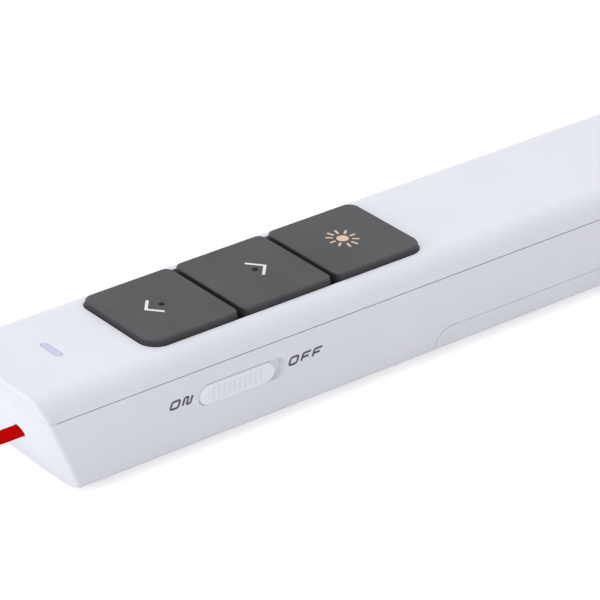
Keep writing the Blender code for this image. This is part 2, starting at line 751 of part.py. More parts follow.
def bottom_shell(form, white):
    """The lower casing: nose wall, floor, sides, battery tub, posts and cradle."""
    shell = piece("bottom_shell", slab(underside - OVERRUN, part_height - SEAM / 2), white)
    join(shell, nose_lip(0, part_height - OVERRUN))
    combine(shell, "INTERSECT", form)
    tub_front = nose_x + bay_wall_start
    room = inner_form(FLOOR_WALL, tub_front)
    inside = bottom_half - SHELL_WALL
    side = top_half - SHELL_WALL
    lip_end = tail_x - SHELL_WALL + LIP_THICKNESS + GAP
    lip_front = nose_x + nose_wall + nose_slope * EDGE_RADIUS + GAP
    cut(shell, room)
    cut(shell, floor_trough())
    cut(shell, box((tub_front - SINK, -side, part_height - SEAM), (lip_end, side, part_height + OVERRUN)))
    lip_outside = side + LIP_THICKNESS
    lip_low, lip_high = part_height - OVERRUN / 2, part_height + LIP_RISE
    join(
        shell,
        box((lip_front, -lip_outside, lip_low), (lip_end, -side + SINK, lip_high)),
        box((lip_front, side - SINK, lip_low), (lip_end, lip_outside, lip_high)),
        box((tub_front, -inside, bay_height - SINK), (nose_x + room_end - SINK, inside, tub_top)),
        *bosses(trough_low - SINK, board_bottom - GAP, BOARD_POST_RADIUS, board_screws + board_rests),
        *bosses(FLOOR_WALL - SINK, BOSS_HEIGHT, FRONT_BOSS_RADIUS, front_screws),
    )
    back_lip = box((lip_end - LIP_THICKNESS - SINK, -side, lip_low), (lip_end, side, lip_high))
    join(shell, back_lip, *cradle_ribs())
    cut(shell, outline_solid(cover_outline(-SEAM), -top_half - OVERRUN, top_half + OVERRUN, "XZ"))
    cut(shell, *tub_pockets())
    cut(shell, *plate_grooves())
    cut(shell, *tab_slots())
    join(shell, *rails(), *receiver_shelf())
    hole = SCREW_RADIUS + GAP
    head = SCREW_HEAD_RADIUS + GAP
    barrel = barrel_radius + GAP
    rib_front = (barrel_front + CRADLE_INSET - GAP, *laser_axis[1:])
    barrel_back = (barrel_end, *laser_axis[1:])
    outside = (nose_x - OVERRUN, *laser_axis[1:])
    inside = (barrel_front - GAP, *laser_axis[1:])
    cut(
        shell,
        *bosses(FLOOR_WALL, BOSS_HEIGHT + OVERRUN, hole, front_screws, 12),
        *bosses(bay_height - OVERRUN, tub_top + OVERRUN, hole, bay_screws, 12),
        *bosses(FLOOR_WALL, board_bottom, hole, board_screws, 12),
        rod(rib_front, barrel_back, barrel, 24),
        rod(outside, inside, APERTURE_DIAMETER / 2, 24),
        *wire_notches(),
        knob_pocket(),
    )
    below = underside - OVERRUN
    cut(shell, knob_slot(), *bosses(below, FRONT_SCREW_RECESS + SCREW_HEAD + GAP, head, front_screws))
    return shell


def floor_trough():
    """The lower middle of the front room's floor, which keeps the belly's wall thin."""
    front = nose_x + nose_slope * (top_height - trough_low) + nose_wall
    back = nose_x + cover_start - COVER_HOOK_REACH - SHELL_WALL
    half = TROUGH_HALF_WIDTH
    return box((front, -half, trough_low), (back, half, FLOOR_WALL + OVERRUN))


def cradle_ribs():
    """Two ribs that the laser barrel lies in."""
    ribs = []
    half = CRADLE_WIDTH / 2
    for x in (barrel_front + CRADLE_INSET, barrel_end - CRADLE_INSET - CRADLE_RIB):
        low = (x, LASER_SIDE - half, trough_low - SINK)
        ribs.append(box(low, (x + CRADLE_RIB, LASER_SIDE + half, BOSS_HEIGHT)))
    return ribs


def rails():
    """The tub's two lower walls, each with the foot that the cover's ridge hooks over."""
    low = COVER_FLOOR + GAP
    high = COVER_HEIGHT + SEAM + SINK
    foot = low + RAIL_THICKNESS
    start, end = nose_x + bay_start + COVER_CORNER, nose_x + room_end - GAP
    near, far = tub_half + SINK / 4, tub_half + TUB_WALL
    made = []
    for side in (-1, 1):
        corners = [(near, low), (rail_half, low), (rail_half, foot), (far, foot), (far, high), (near, high)]
        made.append(outline_solid([(side * y, z) for y, z in corners], start, end, "YZ"))
    return made


def receiver_shelf():
    """Two ribs above the stored receiver, which keep it down on the cover's ribs."""
    low = receiver_low + RECEIVER_HEIGHT + GAP
    start, end = nose_x + receiver_room_start, nose_x + room_end
    near, far = receiver_length / 4, receiver_length / 4 + SHELF_RIB
    made = []
    for y0, y1 in ((-far, -near), (near, far)):
        made.append(box((start - SINK, y0, low), (end + SINK, y1, bay_height + SINK)))
    return made


def wire_notches():
    """Two notches in the front edge of the tub's roof for the battery wires."""
    x0 = nose_x + bay_wall_start - OVERRUN
    x1 = nose_x + bay_start + BAY_WALL
    half = WIRE_RADIUS + GAP
    low, high = bay_height - WIRE_RADIUS, tub_top + OVERRUN
    return [box((x0, y - half, low), (x1, y + half, high)) for y in (-WIRE_SIDE, WIRE_SIDE)]


def knob_pocket():
    """The pocket in the near side that the knob slides in."""
    start = knob_start - KNOB_CLEARANCE
    end = knob_start + KNOB_LENGTH + KNOB_TRAVEL + KNOB_CLEARANCE
    return stadium(start, end, KNOB_HEIGHT + 2 * KNOB_CLEARANCE, -OVERRUN, KNOB_POCKET_DEPTH)


def knob_slot():
    """The slot in the pocket's floor that the knob's stem passes through."""
    half = STEM_LENGTH / 2 + GAP
    height = STEM_HEIGHT + 2 * GAP
    return stadium(knob_x - half, knob_x + half + KNOB_TRAVEL, height, 0, SHELL_WALL + OVERRUN)


def battery_cover(form, white):
    """The sliding lower rear cover, with side ridges, front hooks and a thumb grip."""
    reach = top_half + OVERRUN
    cover = piece("battery_cover", outline_solid(cover_outline(0), -reach, reach, "XZ"), white)
    combine(cover, "INTERSECT", form)
    inside = bottom_half - COVER_WALL
    start = nose_x + cover_start
    end = tail_x - TAIL_WALL
    cut(cover, box((start - OVERRUN, -inside, COVER_FLOOR), (end, inside, COVER_HEIGHT + OVERRUN)))
    ridge_low = COVER_FLOOR + GAP + RAIL_THICKNESS + GAP
    ridge_high = ridge_low + RAIL_THICKNESS
    ridge_start = start + COVER_CORNER + RAIL_DEPTH
    ridge_in = rail_half - RAIL_OVERLAP
    added = []
    for side in (-1, 1):
        near, far = sorted((side * ridge_in, side * (inside + SINK)))
        added.append(box((ridge_start, near, ridge_low), (end, far, ridge_high)))
        near, far = sorted((side * HOOK_NEAR, side * HOOK_FAR))
        added.append(hook(start, near, far))
        near, far = sorted((side * RECEIVER_RIB_SIDE, side * (RECEIVER_RIB_SIDE + SHELF_RIB)))
        rib_low = (nose_x + receiver_start, near, COVER_FLOOR - SINK)
        added.append(box(rib_low, (nose_x + receiver_end, far, hook_high)))
    cut(cover, *cover_troughs())
    join(cover, *added)
    grooves = []
    half = GRIP_WIDTH / 2
    for i in range(GRIP_COUNT):
        x = start + GRIP_FROM_FRONT + i * GRIP_PITCH
        grooves.append(box((x, -half, underside - OVERRUN), (x + GRIP_GROOVE, half, underside + GRIP_DEPTH)))
    cut(cover, *grooves)
    return cover


def cover_troughs():
    """Two hollows in the cover's floor below the cell, with a spine between them that carries it."""
    start, end = nose_x + cell_start, nose_x + cell_end
    low, high = underside + COVER_FLOOR, COVER_FLOOR + OVERRUN
    spans = [sorted((side * COVER_SPINE_WIDTH / 2, side * TROUGH_HALF_WIDTH)) for side in (-1, 1)]
    return [box((start, near, low), (end, far, high)) for near, far in spans]


def hook(start, near, far):
    """A hook that runs forward over the casing's floor from its root on the cover's floor."""
    front = start - COVER_HOOK_REACH
    root = start + COVER_HOOK_ROOT
    back = root + COVER_HOOK_THICKNESS
    foot = COVER_FLOOR - SINK
    under = [(front, hook_low), (root, hook_low), (root, foot), (back, foot)]
    return outline_solid([*under, (back, hook_high), (front, hook_high)], near, far, "XZ")


def key(name, span, radii, finish):
    """One key: cap, flange under the casing's roof, and the stem over its switch."""
    x0, x1 = span
    half = KEYPAD_WIDTH / 2 - KEY_CLEARANCE
    x = (x0 + x1) / 2
    first = radii[0] > KEY_INNER_RADIUS
    last = radii[1] > KEY_INNER_RADIUS
    low_x = x0 + (KEY_CLEARANCE if first else KEY_GAP / 2)
    high_x = x1 - (KEY_CLEARANCE if last else KEY_GAP / 2)
    cap = outline_solid(rounded((low_x, -half), (high_x, half), radii, 6), key_bottom, key_top)
    cleaned(cap, at_height(key_top), KEY_EDGE, 3)
    made = piece(name, cap, finish, (x, 0, key_top))
    wide = KEYPAD_WIDTH / 2 + KEY_FLANGE
    flange = box((x0 + KEY_FLANGE_INSET, -wide, key_bottom), (x1 - KEY_FLANGE_INSET, wide, flange_top))
    stem = rod((x, 0, button_top + GAP), (x, 0, key_bottom + SINK), KEY_STEM_DIAMETER / 2)
    join(made, flange)
    join(made, stem)
    return made


def key_nub(x):
    """A small round bump in the middle of a key, felt with the thumb."""
    shape = bmesh.new()
    bmesh.ops.create_uvsphere(shape, u_segments=10, v_segments=8, radius=KEY_NUB_RADIUS)
    bmesh.ops.translate(shape, vec=(x, 0, key_top + KEY_NUB_RISE - KEY_NUB_RADIUS), verts=shape.verts)
    mesh = bpy.data.meshes.new("nub")
    shape.to_mesh(mesh)
    shape.free()
    return mesh


def key_switch(name, x, metal, grey):
    """A small push switch on the board and the button that its key presses."""
    low = board_top + GAP
    high = low + TACT_HEIGHT
    bore_low = high - TACT_BUTTON_RISE - KEY_TRAVEL - GAP
    housing = piece(f"{name}_switch", centred_box(x, 0, low, high, TACT_SIZE, TACT_SIZE), metal, (x, 0, low))
    cut(housing, rod((x, 0, bore_low), (x, 0, high + OVERRUN), TACT_BUTTON_RADIUS + GAP))
    button_low = high - TACT_BUTTON_RISE
    button = rod((x, 0, button_low), (x, 0, button_top), TACT_BUTTON_RADIUS)
    return piece(f"{name}_switch_button", button, grey, (x, 0, button_top))


def keypad(finish, metal, grey):
    """The three keys with the switches under them, each pair on its own press."""
    names = ("key_back", "key_forward", "key_laser")
    outer, inner = KEYPAD_RADIUS - KEY_CLEARANCE, KEY_INNER_RADIUS
    corners = ((outer, inner, inner, outer), (inner,) * 4, (inner, outer, outer, inner))
    for name, span, radii in zip(names, key_spans(), corners):
        x = sum(span) / 2
        made = key(name, span, radii, finish)
        if name != "key_laser":
            join(made, key_nub(x))
        button = key_switch(name, x, metal, grey)
        pose_parent(f"{name}_press", (x, 0, key_top), made, button)


def chamfered_block(name, place, size, finish):
    """A small component on the board with its top edges broken."""
    (x, y), (length, width, height) = place, size
    low = board_top + GAP
    mesh = centred_box(x, y, low, low + height, length, width)
    cleaned(mesh, at_height(low + height), PART_CHAMFER, 1)
    return piece(name, mesh, finish, (x, y, low))


def main_board(green, black, metal):
    """The circuit board with its screw holes, and the components on it."""
    radii = (BOARD_RADIUS,) * 4
    outline = rounded((board_x[0], -board_half), (board_x[1], board_half), radii, 3)
    board = piece("main_board", outline_solid(outline, board_bottom, board_top), green, (0, 0, board_bottom))
    cut(board, *bosses(board_bottom - OVERRUN, board_top + OVERRUN, SCREW_RADIUS + GAP, board_screws, 12))
    spans = key_spans()
    first_gap, second_gap = spans[0][1], spans[1][1]
    side = board_half / 2
    chip = (CHIP_SIZE, CHIP_SIZE, CHIP_HEIGHT)
    can = (CRYSTAL_LENGTH, CRYSTAL_WIDTH, CRYSTAL_HEIGHT)
    chamfered_block("radio_chip", (second_gap, side), chip, black)
    chamfered_block("crystal", (second_gap + CHIP_SIZE, side), can, metal)
    coil = (COIL_SIZE, COIL_SIZE, COIL_HEIGHT)
    chamfered_block("boost_coil", (first_gap, side), coil, black)
    small = (CAPACITOR_LENGTH, CAPACITOR_WIDTH, CAPACITOR_HEIGHT)
    chamfered_block("input_capacitor", (first_gap + COIL_SIZE + GAP, side), small, CAPACITOR_TAN)
    chamfered_block("output_capacitor", (second_gap - CHIP_SIZE, side), small, CAPACITOR_TAN)


def power_switch(white, metal, grey):
    """The ribbed knob, the slider that it moves and the switch on the board's near edge."""
    plate = stadium(knob_start, knob_start + KNOB_LENGTH, KNOB_HEIGHT, -KNOB_PROUD, KNOB_POCKET_DEPTH - GAP)
    face = -knob_side - KNOB_PROUD
    cleaned(plate, lambda edge: sharp(edge) and max(v.co.y for v in edge.verts) < face + GAP, KNOB_EDGE, 2)
    knob = piece("power_knob", plate, white, (knob_x, -knob_side, KNOB_CENTRE_HEIGHT))
    switch_face = -board_half + GAP
    stem_end = -knob_side + SHELL_WALL + 2 * GAP
    low, high = KNOB_CENTRE_HEIGHT - STEM_HEIGHT / 2, KNOB_CENTRE_HEIGHT + STEM_HEIGHT / 2
    half = STEM_LENGTH / 2
    stem_start = -knob_side + KNOB_POCKET_DEPTH - GAP - SINK
    join(knob, box((knob_x - half, stem_start, low), (knob_x + half, stem_end, high)))
    slot = SLIDER_WIDTH / 2 + GAP
    notch_low = (knob_x - slot, stem_end - SLIDER_REACH - GAP, low - OVERRUN)
    notch = box(notch_low, (knob_x + slot, stem_end + OVERRUN, high + OVERRUN))
    cut(knob, notch, *knob_grooves())
    switch_x = knob_x + KNOB_TRAVEL / 2
    bottom, top = board_top + GAP, board_top + GAP + SWITCH_HEIGHT
    length = SWITCH_LENGTH / 2
    back = switch_face + SWITCH_DEPTH
    can_box = box((switch_x - length, switch_face, bottom), (switch_x + length, back, top))
    can = piece("power_switch", can_box, metal, (switch_x, switch_face, bottom))
    tall = SLIDER_WIDTH / 2
    window = KNOB_TRAVEL / 2 + slot
    depth = switch_face + SWITCH_SLOT_DEPTH
    middle = KNOB_CENTRE_HEIGHT
    window_low = (switch_x - window, switch_face - OVERRUN, middle - slot)
    cut(can, box(window_low, (switch_x + window, depth, middle + slot)))
    low_corner = (knob_x - tall, stem_end - SLIDER_REACH, middle - tall)
    slider_box = box(low_corner, (knob_x + tall, depth - GAP, middle + tall))
    slider = piece("power_slider", slider_box, grey, (knob_x, depth, middle))
    pose_parent("power_slide", (knob_x, -knob_side, KNOB_CENTRE_HEIGHT), knob, slider)


def knob_grooves():
    """The fine upright grooves in the knob's face."""
    start = knob_x - (KNOB_RIB_COUNT - 1) * KNOB_RIB_PITCH / 2
    half = KNOB_RIB_HEIGHT / 2
    made = []
    for i in range(KNOB_RIB_COUNT):
        x = start + i * KNOB_RIB_PITCH
        low = (x - KNOB_RIB_GROOVE / 2, -KNOB_PROUD - OVERRUN, -half)
        made.append(box(low, (x + KNOB_RIB_GROOVE / 2, -KNOB_PROUD + KNOB_RIB_DEPTH, half)))
    grooves = together(made)
    grooves.transform(side_frame())
    return [grooves]


def laser(brass, metal, glass, green):
    """The laser module: barrel, lens and its ring, diode and driver board."""
    stop_end = mouth_depth + BARREL_STOP_DEPTH
    barrel = [
        (barrel_radius, barrel_length),
        (barrel_radius, 0),
        (lens_mouth, 0),
        (lens_mouth, mouth_depth),
        (BARREL_STOP, mouth_depth),
        (BARREL_STOP, stop_end),
        (barrel_bore, stop_end),
        (barrel_bore, barrel_length),
    ]
    place = (barrel_front, *laser_axis[1:])
    along = (1, 0, 0)
    piece("laser_barrel", turned(barrel, place, along, 24, closed=True), brass, place)
    ring = [
        (LENS_RADIUS, LENS_RING_THICKNESS),
        (LENS_RADIUS, 0),
        (LENS_RING_BORE, 0),
        (LENS_RING_BORE, LENS_RING_THICKNESS),
    ]
    ring_x = barrel_front + GAP
    piece("lens_ring", turned(ring, (ring_x, *laser_axis[1:]), along, 20, closed=True), metal, place)
    lens_x = ring_x + LENS_RING_THICKNESS + GAP
    edge = LENS_THICKNESS / 2
    crown = (LENS_RADIUS / 2, LENS_THICKNESS - edge / 4)
    lens = [(0, LENS_THICKNESS), crown, (LENS_RADIUS, edge), (LENS_RADIUS, 0), (0, 0)]
    piece("laser_lens", turned(lens, (lens_x, *laser_axis[1:]), along, 20), glass, place)
    diode = [
        (0, DIODE_CAN + DIODE_FLANGE),
        (DIODE_FLANGE_RADIUS, DIODE_CAN + DIODE_FLANGE),
        (DIODE_FLANGE_RADIUS, DIODE_CAN),
        (DIODE_CAN_RADIUS, DIODE_CAN),
        (DIODE_CAN_RADIUS, 0),
        (0, 0),
    ]
    diode_x = barrel_end - DIODE_CAN - DIODE_FLANGE
    made = piece("laser_diode", turned(diode, (diode_x, *laser_axis[1:]), along, 20), metal, place)
    pins = []
    for i in range(DIODE_PINS):
        angle = 2 * pi * i / DIODE_PINS
        y = LASER_SIDE + DIODE_PIN_CIRCLE * cos(angle)
        z = LASER_HEIGHT + DIODE_PIN_CIRCLE * sin(angle)
        tip = (barrel_end + DIODE_PIN_LENGTH, y, z)
        pins.append(rod((barrel_end - SINK, y, z), tip, DIODE_PIN_RADIUS, 8))
    join(made, *pins)
    half = LASER_BOARD_SIZE / 2
    low = (laser_board_start, LASER_SIDE - half, LASER_HEIGHT - half)
    high = (laser_board_end, LASER_SIDE + half, LASER_HEIGHT + half)
    piece("laser_board", box(low, high), green, (laser_board_start, *laser_axis[1:]))


def laser_wires(red, black):
    """Two short wires from the laser's board down to the main board."""
    for name, side, finish in (("laser_wire_red", 1, red), ("laser_wire_black", -1, black)):
        y = LASER_SIDE + side * LASER_WIRE_SIDE
        start = laser_board_end + GAP
        top = LASER_HEIGHT + 2 * LASER_WIRE_SIDE
        end = board_x[0] + LASER_WIRE_REACH
        stops = [
            (start, y, top),
            (start + WIRE_STEP, y, top),
            (end, y, (top + board_top) / 2 + WIRE_RADIUS),
            (end, y, board_top + GAP),
        ]
        piece(name, tube(smooth_route(stops, WIRE_STEP), WIRE_RADIUS, 1), finish, stops[0])


def indicator(green, clear, glow):
    """The lamp window in the roof, with the lamp and its board hung below it."""
    low, high = roof_inside - GAP - LAMP_FLANGE_HEIGHT, top_height
    window = piece("lamp_window", outline_solid(capsule(0), low, high), clear, (lamp_x, 0, high))
    join(window, outline_solid(capsule(WINDOW_GAP + LAMP_FLANGE), low, roof_inside - GAP))
    board = centred_box(lamp_x, 0, lamp_board_bottom, lamp_board_top, LAMP_BOARD_LENGTH, LAMP_BOARD_WIDTH)
    made = piece("lamp_board", board, green, (lamp_x, 0, lamp_board_top))
    cut(made, *bosses(0, top_height, LAMP_PIN_RADIUS + GAP, lamp_pins, 12))
    lamp_low = lamp_board_top + GAP
    lamp = centred_box(lamp_x, 0, lamp_low, lamp_low + LAMP_HEIGHT, LAMP_LENGTH, LAMP_WIDTH)
    cleaned(lamp, at_height(lamp_low + LAMP_HEIGHT), PART_CHAMFER, 1)
    piece("indicator_lamp", lamp, glow, (lamp_x, 0, lamp_low))


def lamp_wires(red, black):
    """Two wires from the lamp's board back and down to the main board."""
    for name, side, finish in (("lamp_wire_red", 1, red), ("lamp_wire_black", -1, black)):
        y = LAMP_WIRE_SIDE + side * (WIRE_RADIUS + GAP)
        start = lamp_x + LAMP_BOARD_LENGTH / 2 + GAP
        height = lamp_board_bottom + WIRE_RADIUS
        end = board_x[0] + WIRE_STEP
        stops = [
            (start, y, height),
            (start + WIRE_STEP, y, height),
            (end - WIRE_STEP, y, (height + board_top) / 2),
            (end, y, board_top + WIRE_STEP),
            (end, y, board_top + GAP),
        ]
        piece(name, tube(smooth_route(stops, 2 * WIRE_STEP), WIRE_RADIUS, 1), finish, stops[0])


def cross_outline():
    """The plus-shaped outline of a screw's recess, about its middle."""
    long, thin = SCREW_CROSS / 2, SCREW_CROSS_WIDTH / 2
    root = thin + SCREW_CROSS_WIDTH / 4
    arm = [(long, -thin), (long, thin), (root, root)]
    outline = []
    for _ in range(4):
        outline += arm
        arm = [(-v, u) for u, v in arm]
    return outline


def screw(name, place, length, finish, up=1):
    """A pan-head screw with a cross recess; place is where the head meets the shank."""
    x, y, z = place
    profile = [
        (0, length),
        (SCREW_RADIUS / 2, length),
        (SCREW_RADIUS, length - SCREW_RADIUS),
        (SCREW_RADIUS, 0),
        (SCREW_HEAD_RADIUS, 0),
        (SCREW_HEAD_RADIUS, -SCREW_HEAD / 2),
        (SCREW_HEAD_RADIUS - SCREW_HEAD / 2, -SCREW_HEAD),
        (0, -SCREW_HEAD),
    ]
    made = piece(name, turned(profile, place, (0, 0, up), 12), finish, place)
    face = z - up * SCREW_HEAD
    low, high = sorted((face - up * OVERRUN, face + up * SCREW_CROSS_DEPTH))
    cut(made, outline_solid([(x + u, y + v) for u, v in cross_outline()], low, high))


def screws(steel):
    """The four casing screws from below and the two that hold the board."""
    head_top = FRONT_SCREW_RECESS + SCREW_HEAD
    for i, (x, y) in enumerate(front_screws):
        screw(f"front_screw_{i + 1}", (x, y, head_top), FRONT_SCREW_LENGTH, steel)
    for i, (x, y) in enumerate(bay_screws):
        screw(f"bay_screw_{i + 1}", (x, y, bay_height - GAP), BAY_SCREW_LENGTH, steel)
    for i, (x, y) in enumerate(board_screws):
        screw(f"board_screw_{i + 1}", (x, y, board_top + GAP), BOARD_SCREW_LENGTH, steel, up=-1)


def dry_cell(label, metal):
    """The dry cell: its wrapped can and the end cap with the positive nub."""
    radius = CELL_DIAMETER / 2
    nub = CELL_NUB_DIAMETER / 2
    place = (nose_x + cell_start, 0, cell_height)
    face = CELL_NUB_HEIGHT + CELL_RIM
    inside = radius - CELL_FACE_INSET
    can = [
        (0, CELL_LENGTH),
        (radius - CELL_RIM, CELL_LENGTH),
        (radius, CELL_LENGTH - CELL_RIM),
        (radius, face),
        (radius - CELL_RIM, CELL_NUB_HEIGHT),
        (inside, CELL_NUB_HEIGHT),
        (inside, face + CELL_RIM),
        (0, face + CELL_RIM),
    ]
    piece("cell_can", turned(can, place, (1, 0, 0), 24), label, place)
    cap = [
        (0, face + CELL_RIM - GAP),
        (inside - GAP, face + CELL_RIM - GAP),
        (inside - GAP, CELL_NUB_HEIGHT + GAP),
        (nub, CELL_NUB_HEIGHT + GAP),
        (nub, 0),
        (0, 0),
    ]
    piece("cell_cap", turned(cap, place, (1, 0, 0), 20), metal, place)


def contact_plate(name, start, metal):
    """A spring-metal contact held in the tub's grooves, with a tab up through its roof."""
    half = CELL_DIAMETER / 2 + PLATE_GROOVE
    low, high = COVER_HEIGHT + SEAM + GAP, bay_height - GAP
    tab = PLATE_TAB_WIDTH / 2
    top = tub_top + PLATE_TAB_RISE
    right = [(half, low), (half, high), (tab, high), (tab, top)]
    points = [*right, *[(-y, z) for y, z in reversed(right)]]
    x0 = nose_x + start
    piece(name, outline_solid(points, x0, x0 + PLATE_THICKNESS, "YZ"), metal, (x0, 0, cell_height))


def battery_spring(metal):
    """The cone-shaped coil spring that pushes the cell forward, as one unbroken wire."""
    wire = SPRING_WIRE / 2
    start = nose_x + cell_end + GAP + wire
    length = SPRING_LENGTH - 2 * wire
    steps = SPRING_TURNS * 10
    points = []
    for i in range(steps + 1):
        share = i / steps
        radius = SPRING_SMALL_RADIUS + (SPRING_LARGE_RADIUS - SPRING_SMALL_RADIUS) * share
        angle = 2 * pi * SPRING_TURNS * share
        points.append((start + length * share, radius * cos(angle), cell_height + radius * sin(angle)))
    piece("battery_spring", tube(points, wire, 1), metal, (start, 0, cell_height))
    turn_step = length / SPRING_TURNS
    cone_step = (SPRING_LARGE_RADIUS - SPRING_SMALL_RADIUS) / SPRING_TURNS
    gap = (turn_step**2 + cone_step**2) ** 0.5 - SPRING_WIRE
    print(f"battery spring: {SPRING_TURNS} turns, least gap {gap * 1000:.2f} mm")


def battery_wires(red, black):
    """The wires from the two contacts forward to the main board."""
    run = tub_top + GAP + WIRE_RADIUS
    edge = nose_x + bay_wall_start
    land_x = board_x[1] - WIRE_STEP
    notch = bay_height + WIRE_RADIUS
    clear = PLATE_TAB_WIDTH / 2 + GAP + WIRE_RADIUS
    for name, plate, side, finish in (
        ("battery_wire_red", front_plate_start, 1, red),
        ("battery_wire_black", tail_plate_start, -1, black),
    ):
        y = side * WIRE_SIDE
        x = nose_x + plate + PLATE_THICKNESS / 2
        stops = [(x, side * clear, run)]
        if side > 0:
            stops.append((x, y, run))
        else:
            stops += [(x - WIRE_SIDE, y, run), (nose_x + bay_start + 2 * WIRE_SIDE, y, run)]
        stops += [(edge, y, notch), (edge - WIRE_STEP, y, notch - WIRE_STEP)]
        stops += [(land_x, y, (notch + board_top) / 2), (land_x, y, board_top + GAP)]
        piece(name, tube(smooth_route(stops, 2 * WIRE_STEP), WIRE_RADIUS, 1), finish, stops[0])


def receiver(grey, metal, black):
    """The small radio receiver stored across the tail, with its plug towards the far side."""
    x0, x1 = nose_x + receiver_start, nose_x + receiver_end
    x = (x0 + x1) / 2
    low, high = receiver_low, receiver_low + RECEIVER_HEIGHT
    middle = (low + high) / 2
    near = -receiver_length / 2
    root = near + RECEIVER_HOUSING
    far = receiver_length / 2
    outline = rounded((x0, low), (x1, high), (RECEIVER_RADIUS,) * 4, 3)
    piece("receiver_housing", outline_solid(outline, near, root - GAP, "XZ"), grey, (x, near, middle))
    half_x, half_z = PLUG_WIDTH / 2, PLUG_HEIGHT / 2
    shell = box((x - half_x, root, middle - half_z), (x + half_x, far, middle + half_z))
    plug = piece("receiver_plug", shell, metal, (x, root, middle))
    in_x, in_z = half_x - PLUG_SHELL_WALL, half_z - PLUG_SHELL_WALL
    hollow = box((x - in_x, root + PLUG_SHELL_WALL, middle - in_z), (x + in_x, far + OVERRUN, middle + in_z))
    window_y = (root + far) / 2
    windows = [
        centred_box(x + side * half_x / 2, window_y, middle, high + OVERRUN, PLUG_WINDOW, PLUG_WINDOW)
        for side in (-1, 1)
    ]
    cut(plug, hollow)
    cut(plug, *windows)
    tongue_low = (x - in_x + GAP, root + PLUG_SHELL_WALL + GAP, middle - in_z + GAP)
    tongue = box(tongue_low, (x + in_x - GAP, far, tongue_low[2] + PLUG_TONGUE))
    piece("receiver_tongue", tongue, black, (x, root, middle))


def stand_up():
    """Lifts the whole part, which is laid out from the side walls' feet, onto its underside."""
    bpy.context.view_layer.update()
    for obj in [*pieces.objects, *cutters.objects]:
        if not obj.parent:
            obj.location.z += BELLY_DEPTH


def build():
    clear_scene()
    form = guide("outer_form", outer_form())
    top_shell(form, WHITE_ABS)
    bottom_shell(form, WHITE_ABS)
    cover = battery_cover(form, WHITE_ABS)
    pose_parent("cover_slide", (nose_x + cover_start, 0, 0), cover)
    keypad(KEY_GREY, STEEL, GREY_PLASTIC)
    main_board(BOARD_GREEN, BLACK_PLASTIC, STEEL)
    power_switch(WHITE_ABS, STEEL, GREY_PLASTIC)
    laser(BRASS, STEEL, LENS_GLASS, BOARD_GREEN)
    laser_wires(RED_WIRE, BLACK_PLASTIC)
    indicator(BOARD_GREEN, LAMP_LILAC, LAMP_BODY)
    lamp_wires(RED_WIRE, BLACK_PLASTIC)
    screws(STEEL)
    dry_cell(CELL_LABEL, STEEL)
    contact_plate("front_contact", front_plate_start, STEEL)
    contact_plate("tail_contact", tail_plate_start, STEEL)
    battery_spring(STEEL)
    battery_wires(RED_WIRE, BLACK_PLASTIC)
    receiver(GREY_PLASTIC, STEEL, BLACK_PLASTIC)
    stand_up()
    height = key_top - underside
    print(f"body {BODY_LENGTH * 1000:.1f} x {top_half * 2000:.1f} x {height * 1000:.1f} mm")


build()
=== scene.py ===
# %% [markdown]
# # A wireless presenter with a laser pointer
# The solids come from the CAD model. This lesson dresses them for a photograph: it rebuilds the
# visible pieces with finer rounds, gives every piece a surface made of shader nodes, and sets up
# the camera and the studio. Each piece rides on the CAD body that it belongs to, so it still moves.

# %% Load the CAD frame
import json
from math import atan, cos, pi, radians, sin, tan

import bmesh
import bpy
from mathutils import Matrix, Vector
from mathutils.bvhtree import BVHTree
from mathutils.interpolate import poly_3d_calc

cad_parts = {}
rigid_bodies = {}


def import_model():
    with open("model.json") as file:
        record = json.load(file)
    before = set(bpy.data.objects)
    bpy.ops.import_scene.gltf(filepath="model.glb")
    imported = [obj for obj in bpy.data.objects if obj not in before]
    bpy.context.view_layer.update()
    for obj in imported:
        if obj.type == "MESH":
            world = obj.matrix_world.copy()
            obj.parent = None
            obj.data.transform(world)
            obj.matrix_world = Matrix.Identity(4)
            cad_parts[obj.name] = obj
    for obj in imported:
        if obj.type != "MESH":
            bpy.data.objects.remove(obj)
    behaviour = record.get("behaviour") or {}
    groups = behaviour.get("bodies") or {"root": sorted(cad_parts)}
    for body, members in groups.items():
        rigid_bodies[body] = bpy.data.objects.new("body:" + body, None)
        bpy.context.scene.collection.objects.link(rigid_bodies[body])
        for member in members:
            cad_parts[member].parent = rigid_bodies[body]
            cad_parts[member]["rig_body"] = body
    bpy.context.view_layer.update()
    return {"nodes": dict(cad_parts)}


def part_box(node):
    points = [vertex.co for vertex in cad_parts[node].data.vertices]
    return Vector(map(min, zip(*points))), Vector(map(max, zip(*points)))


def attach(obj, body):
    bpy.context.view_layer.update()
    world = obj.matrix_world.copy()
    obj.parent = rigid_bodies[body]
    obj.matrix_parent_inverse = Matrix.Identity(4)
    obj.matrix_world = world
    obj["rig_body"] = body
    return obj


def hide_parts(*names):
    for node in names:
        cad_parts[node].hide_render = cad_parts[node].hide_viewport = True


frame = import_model()

# %% [markdown]
# ## Sizes
# A hand-held product is easier to think about in millimetres than in metres, so every number below
# is in millimetres, and a mesh is scaled once, when it is made. The body lies along X with its
# laser end at -X. Distances along it are counted from the sharp line that the nose's upper edge
# would have without its small round. Heights are counted from the lower end of the flat sides: the
# rounded belly hangs below that, so every finished mesh is lifted until the belly stands on zero.
# GAP keeps two pieces apart, SINK is how deep a post stands in its wall, and PAST is how far a
# cutting block reaches past what it cuts.

